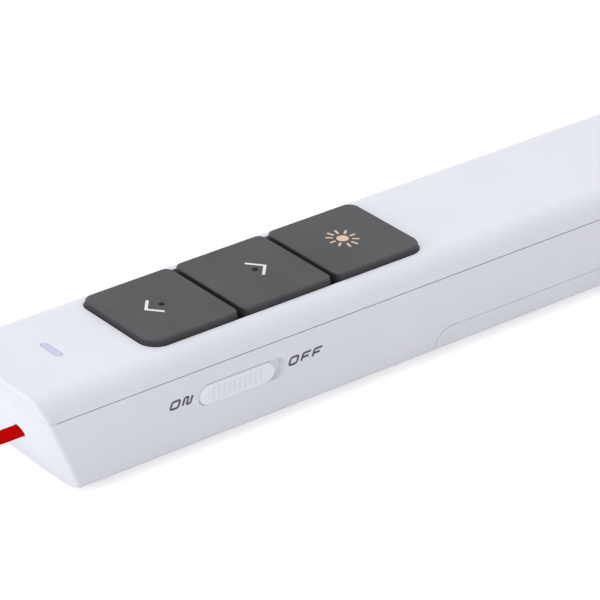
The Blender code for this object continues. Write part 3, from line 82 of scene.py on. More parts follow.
# %% Sizes of the body, in millimetres
MM = 0.001
LENGTH = 145.41
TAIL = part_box("top_shell")[1].x / MM
NOSE = TAIL - LENGTH
PARTING, TOP = 13.1, 16.83
HALF_LOW, HALF_HIGH = 12.7, 13.5
EDGE = TOP - PARTING
SLOPE = tan(radians(22.8))
LEAN = atan((HALF_HIGH - HALF_LOW) / PARTING)
WALL, ROOF, FLOOR, TAIL_WALL = 1.8, 1.6, 1.6, 1.6
NOSE_WALL = WALL / cos(atan(SLOPE))
BELLY, ROUND_WIDE, ROUND_HIGH = 2.1, 9.0, 3.0
LIFT = Matrix.Translation((0, 0, BELLY * MM))
SEAM, FINE_SEAM = 0.16, 0.05
GAP, SINK, PAST = 0.3, 0.4, 2
print(f"body {LENGTH:.1f} x {2 * HALF_HIGH:.1f} mm, nose line at {NOSE:.2f}")

# %% [markdown]
# ## Camera
# The photograph was taken from far away with a long lens, so the body's long edges are nearly
# parallel. The camera's three axes were worked out from those edges; a matrix made of the three
# axes turns the camera exactly, where angles would add rounding errors.

# %% Camera at the photograph's viewpoint
EYE = (NOSE + 0.88 - 251.202, -394.629, 278.314 + BELLY)
RIGHT = Vector((0.78724723, -0.61663749, 0))
UP = Vector((0.29133561, 0.37194162, 0.88135293))
BACK = Vector((-0.54347526, -0.69384266, 0.47245847))
camera_data = bpy.data.cameras.new("camera")
camera_data.lens, camera_data.sensor_width = 215.62, 36
camera = bpy.data.objects.new("camera", camera_data)
camera.matrix_world = Matrix.Translation(Vector(EYE) * MM) @ Matrix((RIGHT, UP, BACK)).transposed().to_4x4()
bpy.context.scene.collection.objects.link(camera)
bpy.context.scene.camera = camera
print("camera at", [round(c, 1) for c in EYE], "mm")

# %% [markdown]
# ## Shapes from rings
# Nearly everything moulded can be drawn as rings: closed loops of points, one after the other,
# joined by faces and closed at both ends. A box, a rod, a rounded plate and the whole body are all
# such lofts. Writing one loft helper and feeding it different rings keeps the pieces short.

# %% Lofts, prisms, rods and lathes
def mesh_of(points, faces):
    """A mesh in metres from points in millimetres, with its faces turned outwards."""
    shape = bmesh.new()
    corners = [shape.verts.new(Vector(point) * MM) for point in points]
    for face in faces:
        shape.faces.new([corners[i] for i in face])
    bmesh.ops.recalc_face_normals(shape, faces=shape.faces)
    mesh = bpy.data.meshes.new("shape")
    shape.to_mesh(mesh)
    shape.free()
    return mesh


def ring_faces(count, size, closed=False):
    """The faces between rings of equal size, with two caps or, if closed, back to the first ring."""
    faces = []
    for ring in range(count if closed else count - 1):
        low, high = ring * size, (ring + 1) % count * size
        for i in range(size):
            j = (i + 1) % size
            faces.append((low + i, low + j, high + j, high + i))
    if not closed:
        faces += [tuple(range(size)), tuple(range((count - 1) * size, count * size))]
    return faces


def loft(rings):
    """A solid through a list of rings."""
    points = [point for ring in rings for point in ring]
    return mesh_of(points, ring_faces(len(rings), len(rings[0])))


def prism(outline, low, high, plane="XY"):
    """An outline drawn in two axes, made solid across the third."""
    order = {"XY": (0, 1, 2), "YZ": (2, 0, 1), "XZ": (0, 2, 1)}[plane]
    rings = []
    for level in (low, high):
        rings.append([[(u, v, level)[axis] for axis in order] for u, v in outline])
    return loft(rings)


def box(low, high):
    """A box between two corners."""
    (x0, y0, z0), (x1, y1, z1) = low, high
    return prism([(x0, y0), (x1, y0), (x1, y1), (x0, y1)], z0, z1)


def rod(start, end, radius, sides=32):
    """A round bar between two points."""
    start, end = Vector(start), Vector(end)
    turn = (end - start).to_track_quat("Z", "Y")
    loop = [turn @ Vector((cos(a), sin(a), 0)) * radius for a in angles(sides)]
    return loft([[start + point for point in loop], [end + point for point in loop]])


def angles(count):
    """Evenly spread angles once round a circle."""
    return [2 * pi * i / count for i in range(count)]


def lathe(profile, place, steps=64, along="X"):
    """A closed profile of (radius, distance) pairs turned round an axis through place."""
    rings = []
    for a in angles(steps):
        ring = []
        for radius, distance in profile:
            u, v = radius * cos(a), radius * sin(a)
            offset = (distance, u, v) if along == "X" else (u, v, distance)
            ring.append([p + o for p, o in zip(place, offset)])
        rings.append(ring)
    points = [point for ring in rings for point in ring]
    return welded(mesh_of(points, ring_faces(steps, len(profile), closed=True)))


def welded(mesh):
    """Merges points that lie on top of each other, such as a lathe's points on its axis."""
    shape = bmesh.new()
    shape.from_mesh(mesh)
    bmesh.ops.remove_doubles(shape, verts=shape.verts, dist=1e-8)
    bmesh.ops.recalc_face_normals(shape, faces=shape.faces)
    shape.to_mesh(mesh)
    shape.free()
    return mesh


def merged(*meshes):
    """Several shapes as one mesh."""
    shape = bmesh.new()
    for mesh in meshes:
        shape.from_mesh(mesh)
    made = bpy.data.meshes.new("merged")
    shape.to_mesh(made)
    shape.free()
    return made


# %% Outlines with round corners
def arc(centre, radius, start, end, steps):
    """Points on an arc, angles in degrees."""
    turns = [radians(start + (end - start) * i / steps) for i in range(steps + 1)]
    return [(centre[0] + radius * cos(a), centre[1] + radius * sin(a)) for a in turns]


def rounded(low, high, radii, steps=16):
    """A rectangle with a radius for each corner, from the low-low corner on."""
    (x0, y0), (x1, y1) = low, high
    a, b, c, d = radii
    return [
        *arc((x0 + a, y0 + a), a, 180, 270, steps),
        *arc((x1 - b, y0 + b), b, 270, 360, steps),
        *arc((x1 - c, y1 - c), c, 0, 90, steps),
        *arc((x0 + d, y1 - d), d, 90, 180, steps),
    ]


def rim_rings(outline, low, surface, rim, steps=6):
    """Rings of a cutter that leaves a round rim where it comes out of a surface."""
    levels = [(low, 0.0)]
    for i in range(steps + 1):
        a = radians(80) * i / steps
        levels.append((surface - rim + rim * sin(a), rim * (1 - cos(a))))
    levels.append((surface + 0.4, rim * 1.7 + 0.3))
    return [(level, outline(grow)) for level, grow in levels]


# %% [markdown]
# ## Cutting and joining
# A moulded shell is a solid with other solids taken away or added, which is what a Boolean does.
# The exact solver is slower than the fast one but copes with walls that end near each other. The
# result is read back as a plain mesh at once, so no modifier is left on the finished pieces.

# %% Boolean helper
def carve(base, tool, how="DIFFERENCE"):
    """The base with the tool's shape taken away, added or kept."""
    holders = [bpy.data.objects.new("holder", mesh) for mesh in (base, tool)]
    for holder in holders:
        bpy.context.scene.collection.objects.link(holder)
    step = holders[0].modifiers.new("carve", "BOOLEAN")
    step.operation, step.solver, step.object = how, "EXACT", holders[1]
    bpy.context.view_layer.update()
    graph = bpy.context.evaluated_depsgraph_get()
    made = bpy.data.meshes.new_from_object(holders[0].evaluated_get(graph))
    for holder in holders:
        bpy.data.objects.remove(holder)
    return made


# %% [markdown]
# ## The body's outside
# The closed body is one smooth form: straight sides that lean out, a quarter-round along each
# upper edge, a belly that curves up to the sides along an oval, a nose that leans back and a flat
# tail. Its cross-section is worked out once, with the direction that the surface faces at every
# point. At the nose and the tail the section shrinks along a quarter circle, which rounds those
# edges.

# %% The form that the casing's three parts are cut from
NOSE_FACE = Vector((-1, 0, -SLOPE)).normalized()
TAIL_FACE = Vector((1, 0, 0))
NOSE_ROUND, TAIL_ROUND = 0.65, 0.3
BELLY_STEPS, EDGE_STEPS, ROUND_STEPS = 24, 36, 8
UNDER_PARTING = 0.02


def side_at(z):
    """Half of the lower casing's width at a height."""
    return HALF_HIGH - (PARTING - z) * tan(LEAN)


def half_section():
    """Points (y, z) and facings of the right half of the section, from the belly up to the roof."""
    level = ROUND_HIGH - BELLY
    middle = side_at(level) - ROUND_WIDE
    rows = []
    for i in range(BELLY_STEPS):
        a = -pi / 2 + pi / 2 * i / BELLY_STEPS
        facing = Vector((cos(a) / ROUND_WIDE, sin(a) / ROUND_HIGH)).normalized()
        rows.append((middle + ROUND_WIDE * cos(a), level + ROUND_HIGH * sin(a), *facing))
    for z in (level, PARTING - UNDER_PARTING):
        rows.append((side_at(z), z, cos(LEAN), -sin(LEAN)))
    for i in range(EDGE_STEPS + 1):
        a = pi / 2 * i / EDGE_STEPS
        rows.append((HALF_HIGH - EDGE + EDGE * cos(a), PARTING + EDGE * sin(a), cos(a), sin(a)))
    return rows


def form_rings():
    """The form's rings from the nose to the tail, and each point's facing."""
    right = half_section()
    around = right + [(-y, z, -ny, nz) for y, z, ny, nz in reversed(right)]
    rings, facings = [], []
    turns = range(ROUND_STEPS + 1)
    for face, radius, order in ((NOSE_FACE, NOSE_ROUND, turns), (TAIL_FACE, TAIL_ROUND, turns[::-1])):
        for turn in order:
            a = pi / 2 * turn / ROUND_STEPS
            ring, facing = [], []
            for y, z, ny, nz in around:
                inset, depth = radius * (1 - sin(a)), radius * (1 - cos(a))
                py, pz = y - ny * inset, z - nz * inset
                nose_side = face is NOSE_FACE
                x = NOSE + SLOPE * (TOP - pz) + depth if nose_side else TAIL - depth
                ring.append((x, py, pz))
                facing.append((Vector((0, ny, nz)) * sin(a) + face * cos(a)).normalized())
            rings.append(ring)
            facings.append(facing)
    return rings, facings


rings, facings = form_rings()
form = loft(rings)
form_points = [Vector(point) * MM for ring in rings for point in ring]
form_facings = [facing for row in facings for facing in row]
form_faces = [tuple(face.vertices) for face in form.polygons]
form_tree = BVHTree.FromPolygons(form_points, form_faces)
print("form:", len(form_points), "points,", len(form_faces), "faces")

# %% [markdown]
# ## Clean shading after the cuts
# A cut leaves long, thin faces around it, and smooth shading spreads odd gradients over them. The
# cure is to keep the shape but to take the shading from the uncut form: each corner of a face that
# still lies on the form gets the form's own facing there. The other faces are shaded by angle.

# %% Shading borrowed from the form
ON_FORM, SAME_FACING = 0.002 * MM, 0.995


def shade(mesh, angle=35):
    """Smooth shading with creases where the faces meet at more than an angle."""
    mesh.shade_smooth()
    mesh.set_sharp_from_angle(angle=radians(angle))
    return mesh


def shade_like_form(mesh):
    """Gives the faces that lie on the body's form the form's facings."""
    shade(mesh)
    normals = [corner.vector.copy() for corner in mesh.corner_normals]
    borrowed = 0
    for face in mesh.polygons:
        near, facing, index, distance = form_tree.find_nearest(face.center)
        if distance > ON_FORM or facing.dot(face.normal) < SAME_FACING:
            continue
        corners = form_faces[index]
        places = [form_points[i] for i in corners]
        for loop in face.loop_indices:
            spot = mesh.vertices[mesh.loops[loop].vertex_index].co
            weights = poly_3d_calc(places, spot)
            total = sum((form_facings[i] * w for i, w in zip(corners, weights)), Vector())
            if total.length > 0.1:
                normals[loop] = total.normalized()
        borrowed += 1
    mesh.normals_split_custom_set(normals)
    return borrowed


def show(name, mesh, body, finish, slot, *stands_for):
    """A finished piece: lifted, coloured, riding on its body and standing for its CAD nodes."""
    mesh.name = name
    mesh.transform(LIFT)
    mesh.materials.clear()
    mesh.materials.append(finish)
    piece = bpy.data.objects.new(name, mesh)
    bpy.context.scene.collection.objects.link(piece)
    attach(piece, body)
    if stands_for:
        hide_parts(*stands_for)
    print(f"{name}: {len(mesh.polygons)} faces on {body}")
    return piece


# %% [markdown]
# ## Surface effects
# Moulded plastic is never one flat colour: the tone drifts a little over centimetres, and a fine
# grain from the mould breaks up the highlights. That is one node group, built once, with its
# colours and scales as inputs, so each plastic uses it with its own values. Distances in the nodes
# are in metres, so a scale of 1000 is one repeat each millimetre.

# %% Node helpers
def group_of(name, inputs, outputs):
    """An empty node group with its sockets and its two end nodes."""
    tree = bpy.data.node_groups.new(name, "ShaderNodeTree")
    for label, kind, value in inputs:
        socket = tree.interface.new_socket(label, in_out="INPUT", socket_type=kind)
        socket.default_value = value
    for label, kind in outputs:
        tree.interface.new_socket(label, in_out="OUTPUT", socket_type=kind)
    start = tree.nodes.new("NodeGroupInput")
    end = tree.nodes.new("NodeGroupOutput")
    return tree, start, end


def add_node(tree, kind, settings=None, **wired):
    """A node with its settings, and its sockets fed by values or by other sockets."""
    node = tree.nodes.new(kind)
    for key, value in (settings or {}).items():
        setattr(node, key, value)
    for label, value in wired.items():
        numbered = label[0] == "i" and label[1:].isdigit()
        socket = node.inputs[int(label[1:]) if numbered else label.replace("_", " ")]
        if isinstance(value, bpy.types.NodeSocket):
            tree.links.new(value, socket)
        else:
            socket.default_value = value
    return node


def between(tree, share, first, second):
    """Colour mixed from first to second by a share."""
    node = tree.nodes.new("ShaderNodeMix")
    node.data_type = "RGBA"
    for socket, value in ((node.inputs[0], share), (node.inputs[6], first), (node.inputs[7], second)):
        if isinstance(value, bpy.types.NodeSocket):
            tree.links.new(value, socket)
        else:
            socket.default_value = value if isinstance(value, float) else (*value[:3], 1)
    return node.outputs[2]


def curve_between(tree, value, low, high, start=0.0, end=1.0):
    """A value moved smoothly from one range to another."""
    settings = {"interpolation_type": "SMOOTHSTEP"}
    node = add_node(tree, "ShaderNodeMapRange", settings, i0=value, i1=low, i2=high, i3=start, i4=end)
    return node.outputs[0]


def sum_of(tree, how, first, second):
    """Two values put together by one sum."""
    return add_node(tree, "ShaderNodeMath", {"operation": how}, i0=first, i1=second).outputs[0]


# %% The moulded surface: drifting tone and fine grain
COLOUR, VALUE = "NodeSocketColor", "NodeSocketFloat"
moulded, given, result = group_of(
    "moulded_surface",
    [
        ("Colour", COLOUR, (0.8, 0.8, 0.8, 1)),
        ("Second Colour", COLOUR, (0.7, 0.7, 0.7, 1)),
        ("Grain Scale", VALUE, 5000.0),
        ("Roughness Low", VALUE, 0.3),
        ("Roughness High", VALUE, 0.4),
    ],
    [("Colour", COLOUR), ("Roughness", VALUE), ("Height", VALUE)],
)
place = add_node(moulded, "ShaderNodeTexCoord").outputs["Object"]
drift = add_node(moulded, "ShaderNodeTexNoise", Vector=place, Scale=70.0, Detail=3.0).outputs["Fac"]
grain = add_node(moulded, "ShaderNodeTexNoise", Vector=place, Scale=given.outputs["Grain Scale"], Detail=2.0)
cells = add_node(moulded, "ShaderNodeTexVoronoi", Vector=place, Scale=given.outputs["Grain Scale"])
tone = curve_between(moulded, drift, 0.3, 0.7)
fine = sum_of(moulded, "MULTIPLY", grain.outputs["Fac"], 0.35)
tone = sum_of(moulded, "ADD", sum_of(moulded, "MULTIPLY", tone, 0.65), fine)
mixed = between(moulded, tone, given.outputs["Colour"], given.outputs["Second Colour"])
gloss = add_node(
    moulded, "ShaderNodeMapRange", i0=tone, i3=given.outputs["Roughness Low"],
    i4=given.outputs["Roughness High"],
)
pits = sum_of(moulded, "MULTIPLY", cells.outputs["Distance"], 0.6)
height = sum_of(moulded, "ADD", grain.outputs["Fac"], pits)
moulded.links.new(mixed, result.inputs["Colour"])
moulded.links.new(gloss.outputs[0], result.inputs["Roughness"])
moulded.links.new(height, result.inputs["Height"])
print("group", moulded.name, "with", len(moulded.nodes), "nodes")

# %% [markdown]
# Metal parts this small are drawn or turned, which leaves fine lines along one direction. Noise
# that is squeezed along that direction gives those lines, both as a change of gloss and as height.

# %% The drawn metal: fine lines and a light tarnish
drawn, given, result = group_of(
    "drawn_metal",
    [
        ("Colour", COLOUR, (0.6, 0.6, 0.6, 1)),
        ("Tarnish", COLOUR, (0.4, 0.4, 0.4, 1)),
        ("Stretch", "NodeSocketVector", (300.0, 8000.0, 8000.0)),
        ("Roughness Low", VALUE, 0.2),
        ("Roughness High", VALUE, 0.4),
    ],
    [("Colour", COLOUR), ("Roughness", VALUE), ("Height", VALUE)],
)
place = add_node(drawn, "ShaderNodeTexCoord").outputs["Object"]
stretch = given.outputs["Stretch"]
squeezed = add_node(drawn, "ShaderNodeVectorMath", {"operation": "MULTIPLY"}, i0=place, i1=stretch).outputs[0]
lines = add_node(drawn, "ShaderNodeTexNoise", Vector=squeezed, Scale=1.0, Detail=2.0).outputs["Fac"]
blotch = add_node(drawn, "ShaderNodeTexNoise", Vector=place, Scale=400.0, Detail=4.0).outputs["Fac"]
share = curve_between(drawn, blotch, 0.45, 0.75, 0.0, 0.8)
mixed = between(drawn, share, given.outputs["Colour"], given.outputs["Tarnish"])
gloss = add_node(
    drawn, "ShaderNodeMapRange", i0=lines, i1=0.3, i2=0.7, i3=given.outputs["Roughness Low"],
    i4=given.outputs["Roughness High"],
)
drawn.links.new(mixed, result.inputs["Colour"])
drawn.links.new(gloss.outputs[0], result.inputs["Roughness"])
drawn.links.new(lines, result.inputs["Height"])
print("group", drawn.name, "with", len(drawn.nodes), "nodes")

# %% [markdown]
# Where fingers and tables rub, an edge turns smoother and a little paler. The paler band also
# stands in for the soft highlight along an edge, so it is partly wear and partly a painted
# highlight. Blender's pointiness is high on outward corners of a fine mesh, so a narrow band of it
# makes a mask for those edges.

# %% The worn edge and its painted highlight
wear_and_highlight_group, given, result = group_of("wear_and_highlight_edge", [("Amount", VALUE, 0.5)], [("Mask", VALUE)])
sharpness = add_node(wear_and_highlight_group, "ShaderNodeNewGeometry").outputs["Pointiness"]
place = add_node(wear_and_highlight_group, "ShaderNodeTexCoord").outputs["Object"]
broken = add_node(wear_and_highlight_group, "ShaderNodeTexNoise", Vector=place, Scale=900.0, Detail=3.0).outputs["Fac"]
edge = curve_between(wear_and_highlight_group, sharpness, 0.505, 0.56)
patchy = sum_of(wear_and_highlight_group, "MULTIPLY", edge, curve_between(wear_and_highlight_group, broken, 0.3, 0.6, 0.5, 1.0))
wear_and_highlight_group.links.new(sum_of(wear_and_highlight_group, "MULTIPLY", patchy, given.outputs["Amount"]), result.inputs["Mask"])
print("group", wear_and_highlight_group.name, "with", len(wear_and_highlight_group.nodes), "nodes")


# %% [markdown]
# ## Finishes
# Every finish below is a Principled shader. Its colour and roughness come from the moulded or the
# drawn group, its bump from the group's height. The bevel node softens each hard edge by a few
# hundredths of a millimetre, as a mould does, without any more faces.

# %% Plastic and metal finishes
def finish_of(name, group, values, bump, bevel=0.0, edge_wear_and_highlight=None, **fixed):
    """A Principled finish fed by a surface group; bump is (strength, distance in millimetres)."""
    made = bpy.data.materials.new(name)
    made.use_nodes = True
    tree = made.node_tree
    shader = tree.nodes["Principled BSDF"]
    surface = tree.nodes.new("ShaderNodeGroup")
    surface.node_tree = group
    for label, value in values.items():
        is_colour = "Colour" in label or label == "Tarnish"
        surface.inputs[label].default_value = (*value, 1) if is_colour else value
    colour = surface.outputs["Colour"]
    # Partly wear, partly painted highlight: outward edges are mixed towards a paler colour.
    if edge_wear_and_highlight:
        edge = tree.nodes.new("ShaderNodeGroup")
        edge.node_tree = wear_and_highlight_group
        edge.inputs["Amount"].default_value = edge_wear_and_highlight[0]
        colour = between(tree, edge.outputs["Mask"], colour, edge_wear_and_highlight[1])
    tree.links.new(colour, shader.inputs["Base Color"])
    tree.links.new(surface.outputs["Roughness"], shader.inputs["Roughness"])
    height, (strength, distance) = surface.outputs["Height"], bump
    relief = add_node(tree, "ShaderNodeBump", Height=height, Strength=strength, Distance=distance * MM)
    if bevel:
        soft = add_node(tree, "ShaderNodeBevel", {"samples": 6}, Radius=bevel * MM)
        tree.links.new(soft.outputs[0], relief.inputs["Normal"])
    tree.links.new(relief.outputs[0], shader.inputs["Normal"])
    for label, value in fixed.items():
        shader.inputs[label.replace("_", " ")].default_value = value
    return made


def plastic(name, colour, second, rough, grain=5000.0, bump=(0.25, 0.01), bevel=0.0, edge_wear_and_highlight=None, **fixed):
    """A moulded plastic."""
    values = {"Colour": colour, "Second Colour": second, "Grain Scale": grain}
    values |= {"Roughness Low": rough[0], "Roughness High": rough[1]}
    return finish_of(name, moulded, values, bump, bevel, edge_wear_and_highlight, **fixed)


def metal(name, colour, tarnish, rough, stretch=(300.0, 8000.0, 8000.0), bump=(0.2, 0.01)):
    """A drawn or turned metal."""
    values = {"Colour": colour, "Tarnish": tarnish, "Stretch": stretch}
    values |= {"Roughness Low": rough[0], "Roughness High": rough[1]}
    return finish_of(name, drawn, values, bump, Metallic=1.0)


white_shell = plastic("white_shell", (0.80, 0.81, 0.888), (0.775, 0.785, 0.865), (0.36, 0.44), bevel=0.06)
white_knob = plastic("white_knob", (0.88, 0.89, 0.96), (0.86, 0.87, 0.94), (0.30, 0.38))
# The keys' paler edges are partly wear and partly a painted highlight.
key_rubber = plastic(
    "key_rubber", (0.051, 0.052, 0.057), (0.044, 0.045, 0.049), (0.5, 0.62), grain=7000.0,
    bump=(0.35, 0.012), edge_wear_and_highlight=(0.35, (0.12, 0.122, 0.13)),
)
# Painted shade: the nubs are almost black, with little shine, for the dark shade seen on each small bump.
nub_painted_shade = plastic(
    "nub_painted_shade", (0.006, 0.006, 0.007), (0.01, 0.01, 0.011), (0.5, 0.6), grain=7000.0,
    Specular_IOR_Level=0.2,
)
black_plastic = plastic("black_plastic", (0.02, 0.02, 0.022), (0.028, 0.028, 0.03), (0.4, 0.55), bevel=0.08)
grey_plastic = plastic("grey_plastic", (0.33, 0.33, 0.35), (0.29, 0.29, 0.31), (0.4, 0.55), bevel=0.08)
steel = metal("steel", (0.62, 0.62, 0.64), (0.50, 0.49, 0.48), (0.22, 0.38))
nickel = metal(
    "nickel", (0.70, 0.69, 0.66), (0.60, 0.58, 0.54), (0.16, 0.30), stretch=(2500.0, 2500.0, 9000.0),
)
brass = metal("brass", (0.74, 0.55, 0.27), (0.55, 0.38, 0.17), (0.2, 0.36), stretch=(9000.0, 900.0, 900.0))
print("finishes so far:", len(bpy.data.materials))

# %% [markdown]
# ## Upper casing
# The upper casing is one moulding: roof, two rounded sides and a share of the nose and the tail.
# It could be modelled face by face, but the window's rim would then break the round edge's flow.
# Keeping the form above the parting line and cutting the hollow and the windows out of it is
# shorter, and the borrowed shading hides the cuts.

# %% Hollow and windows of the upper casing
KEYPAD = (22.88, 40.41, 58.57, 76.91)
KEY_HALF, KEY_CORNER, KEY_FAR_CORNER = 9.65, 3.2, 2.3
LAMP_X, LAMP_LONG, LAMP_WIDE = 11.4, 4.8, 1.2
ROOF_INSIDE = TOP - ROOF
FRONT_SCREWS = [(NOSE + 14.0, side * 8.4) for side in (-1, 1)]
BAY_SCREWS = [(NOSE + 103.06, side * 7.975) for side in (-1, 1)]
LAMP_PINS = [(NOSE + LAMP_X, side * 4.4) for side in (-1, 1)]
SCREW_POST, SCREW_HOLE, LAMP_POST, LAMP_PIN = 2.2, 1.15, 1.1, 0.5
FRONT_POST_TOP, TUB_TOP, LAMP_BOARD_TOP, LAMP_PIN_LOW = 5.6, 13.6, 12.93, 11.53
LIP_Z, LIP_HALF = 15.2, 10.5
SEAT_HALF, SEAT_RISE, SEAT_WALL = 12.8, 1.1, 0.7


SLAB_HALF = 16


def slab(low, high):
    """A block wider than the body between two heights."""
    return box((NOSE - PAST, -SLAB_HALF, low), (TAIL + PAST, SLAB_HALF, high))


def hollow(low, end):
    """The room inside the walls, from a height up, to a place along the body."""
    side = HALF_HIGH - WALL
    inner = EDGE - ROOF
    right = [(side_at(low) - WALL, low), *arc((side - inner, PARTING), inner, 0, 90, 12)]
    around = right + [(-y, z) for y, z in reversed(right)]
    front = [(NOSE + SLOPE * (TOP - z) + NOSE_WALL, y, z) for y, z in around]
    return loft([front, [(end, y, z) for y, z in around]])


def nose_lip(grow, low):
    """The raised middle of the nose's lower wall, which the upper casing leaves room for."""
    half = LIP_HALF + grow
    outline = rounded((-half, low), (half, LIP_Z + grow - SEAM / 2), (0.001, 0.001, 1, 1), 8)
    return prism(outline, NOSE - PAST, NOSE + SLOPE * TOP, "YZ")


def key_window(grow):
    """The keypad's opening."""
    low, high = NOSE + KEYPAD[0] - grow, NOSE + KEYPAD[-1] + grow
    near, far = KEY_CORNER + grow, KEY_FAR_CORNER + grow
    return rounded((low, -KEY_HALF - grow), (high, KEY_HALF + grow), (near, near, far, far))


def lamp_opening(grow):
    """The indicator window's opening, a short bar across the body."""
    x, u, v = NOSE + LAMP_X, LAMP_WIDE / 2 + grow, LAMP_LONG / 2 + grow
    return rounded((x - u, -v), (x + u, v), (u,) * 4, 12)


def rimmed(outline, low, surface, rim):
    """An upright cutter that leaves a round rim in a level surface."""
    return loft([[(x, y, z) for x, y in ring] for z, ring in rim_rings(outline, low, surface, rim)])


def posts(low, high, radius, places, sides=32):
    """Upright posts at several places."""
    return [rod((x, y, low), (x, y, high), radius, sides) for x, y in places]


# %% Build the upper casing
upper = carve(form, slab(PARTING + SEAM / 2, TOP + PAST), "INTERSECT")
upper = carve(upper, hollow(PARTING - PAST, TAIL - TAIL_WALL))
wall_end = NOSE + NOSE_WALL + SLOPE * EDGE
seat = box((wall_end, -SEAT_HALF, 0), (TAIL - SEAT_WALL, SEAT_HALF, PARTING + SEAT_RISE))
upper = carve(upper, seat)
upper = carve(upper, nose_lip(FINE_SEAM, 0))
upper = carve(upper, rimmed(key_window, ROOF_INSIDE - PAST, TOP, 0.1))
upper = carve(upper, rimmed(lambda grow: lamp_opening(grow + 0.06), ROOF_INSIDE - PAST, TOP, 0.05))
roof_hold = ROOF_INSIDE + SINK
inside_posts = [
    *posts(FRONT_POST_TOP + GAP, roof_hold, SCREW_POST, FRONT_SCREWS),
    *posts(TUB_TOP + GAP, roof_hold, SCREW_POST, BAY_SCREWS),
    *posts(LAMP_BOARD_TOP, roof_hold, LAMP_POST, LAMP_PINS),
]
upper = carve(upper, merged(*inside_posts), "UNION")
upper = carve(upper, merged(*posts(LAMP_PIN_LOW, roof_hold, LAMP_PIN, LAMP_PINS, 16)), "UNION")
screw_holes = posts(0, 10.2, SCREW_HOLE, FRONT_SCREWS) + posts(0, roof_hold, SCREW_HOLE, BAY_SCREWS)
upper = carve(upper, merged(*screw_holes))
print("faces that took the form's shading:", shade_like_form(upper))
show("upper_casing", upper, "casing", white_shell, "white_abs", "top_shell")

# %% [markdown]
# ## Lower casing
# The lower casing carries everything: nose wall, floor, leaning sides, the battery tub behind the
# keys, posts for the screws and the board, and the ribs that hold the laser. Its floor has a trough
# along the middle, where the belly hangs lowest, so the wall stays equally thick. The order
# matters: first the big room, then what stands in it, then the pockets and holes through both.

# %% Walls, tub and posts of the lower casing
COVER_START, COVER_HIGH, COVER_CORNER = NOSE + 76.11, 3.55, 3.5
TUB_FRONT, BAY_START, BAY_END = NOSE + 77.11, NOSE + 78.11, NOSE + 128.01
ROOM_START, ROOM_END = NOSE + 129.01, NOSE + 143.81
CELL_HALF, DIVIDER_HALF, TUB_HALF = 5.55, 6.35, 9.6
BAY_HIGH = 12.6
LASER_Y, LASER_Z = -0.5, 5.4
BARREL_FRONT, BARREL_END = NOSE + 8.57, NOSE + 17.97
BOARD_SCREWS = [(NOSE + 24.77, 7.0), (NOSE + 72.51, -7.0)]
TROUGH_HALF, TROUGH_LOW, TROUGH_TOP = 5.6, -0.5, 3.6
BOARD_RESTS = [(x, -y) for x, y in BOARD_SCREWS]
RIM_IN, RIM_OUT, RIM_RISE, REAR_HALF = 11.3, 12.2, 0.8, 11.7
CRADLE_HALF, CRADLE_THICK, CRADLE_TOP = 4.6, 1.2, 5.6
rim_front, rim_end = wall_end + GAP, TAIL - SEAT_WALL - GAP


DEEP = -4


def cover_side(shrink):
    """The battery cover's side view in X and Z, with its round front corner."""
    start, high = COVER_START + shrink, COVER_HIGH - shrink
    corner = arc((start + COVER_CORNER, high - COVER_CORNER), COVER_CORNER, 180, 90, 24)
    return [(start, DEEP), *corner, (TAIL + PAST, high), (TAIL + PAST, DEEP)]


lower = carve(slab(DEEP, PARTING - SEAM / 2), nose_lip(0, PARTING - PAST), "UNION")
fine_end, fine_top = NOSE + SLOPE * EDGE + 1.2, PARTING + SEAM / 2 - FINE_SEAM
fine_part = box((NOSE - PAST - 1, -SLAB_HALF - 1, PARTING - 1), (fine_end, SLAB_HALF + 1, fine_top))
lower = carve(lower, fine_part, "UNION")
lower = carve(lower, form, "INTERSECT")
lower = carve(lower, hollow(FLOOR, TUB_FRONT))
trough = box((NOSE + 9.24, -TROUGH_HALF, TROUGH_LOW), (NOSE + 72.71, TROUGH_HALF, TROUGH_TOP))
lower = carve(lower, trough)
lower = carve(lower, box((TUB_FRONT - SINK, -REAR_HALF, 12.9), (rim_end, REAR_HALF, PARTING + PAST)))
standing = [
    box((TUB_FRONT, -10.9, BAY_HIGH - SINK), (ROOM_END - SINK, 10.9, TUB_TOP)),
    *posts(TROUGH_LOW - SINK, 4.7, 2.0, BOARD_SCREWS + BOARD_RESTS),
    *posts(FLOOR - SINK, FRONT_POST_TOP, 2.5, FRONT_SCREWS),
]
for near, far in ((-RIM_OUT, -RIM_IN), (RIM_IN, RIM_OUT)):
    standing.append(box((rim_front, near, PARTING - 1), (rim_end, far, PARTING + RIM_RISE)))
lower = carve(lower, merged(*standing), "UNION")
rear_rim_start = rim_end - RIM_OUT + RIM_IN
rear_rim = box((rear_rim_start, -REAR_HALF, PARTING - 1), (rim_end, REAR_HALF, PARTING + RIM_RISE))
cradle = [
    box((x, LASER_Y - CRADLE_HALF, TROUGH_LOW - SINK), (x + CRADLE_THICK, LASER_Y + CRADLE_HALF, CRADLE_TOP))
    for x in (BARREL_FRONT + 2, BARREL_END - 2 - CRADLE_THICK)
]
lower = carve(lower, merged(rear_rim, *cradle), "UNION")
lower = carve(lower, prism(cover_side(-0.07), -SLAB_HALF, SLAB_HALF, "XZ"))
print("lower casing with its posts:", len(lower.polygons), "faces")

# %% [markdown]
# The tub is open below, where the battery cover slides on. Its three pockets hold the cell, leave
# room beside it and hold the stored receiver; thin slots keep the contact plates upright. The
# L-shaped rails under its side walls are what the cover hooks on.

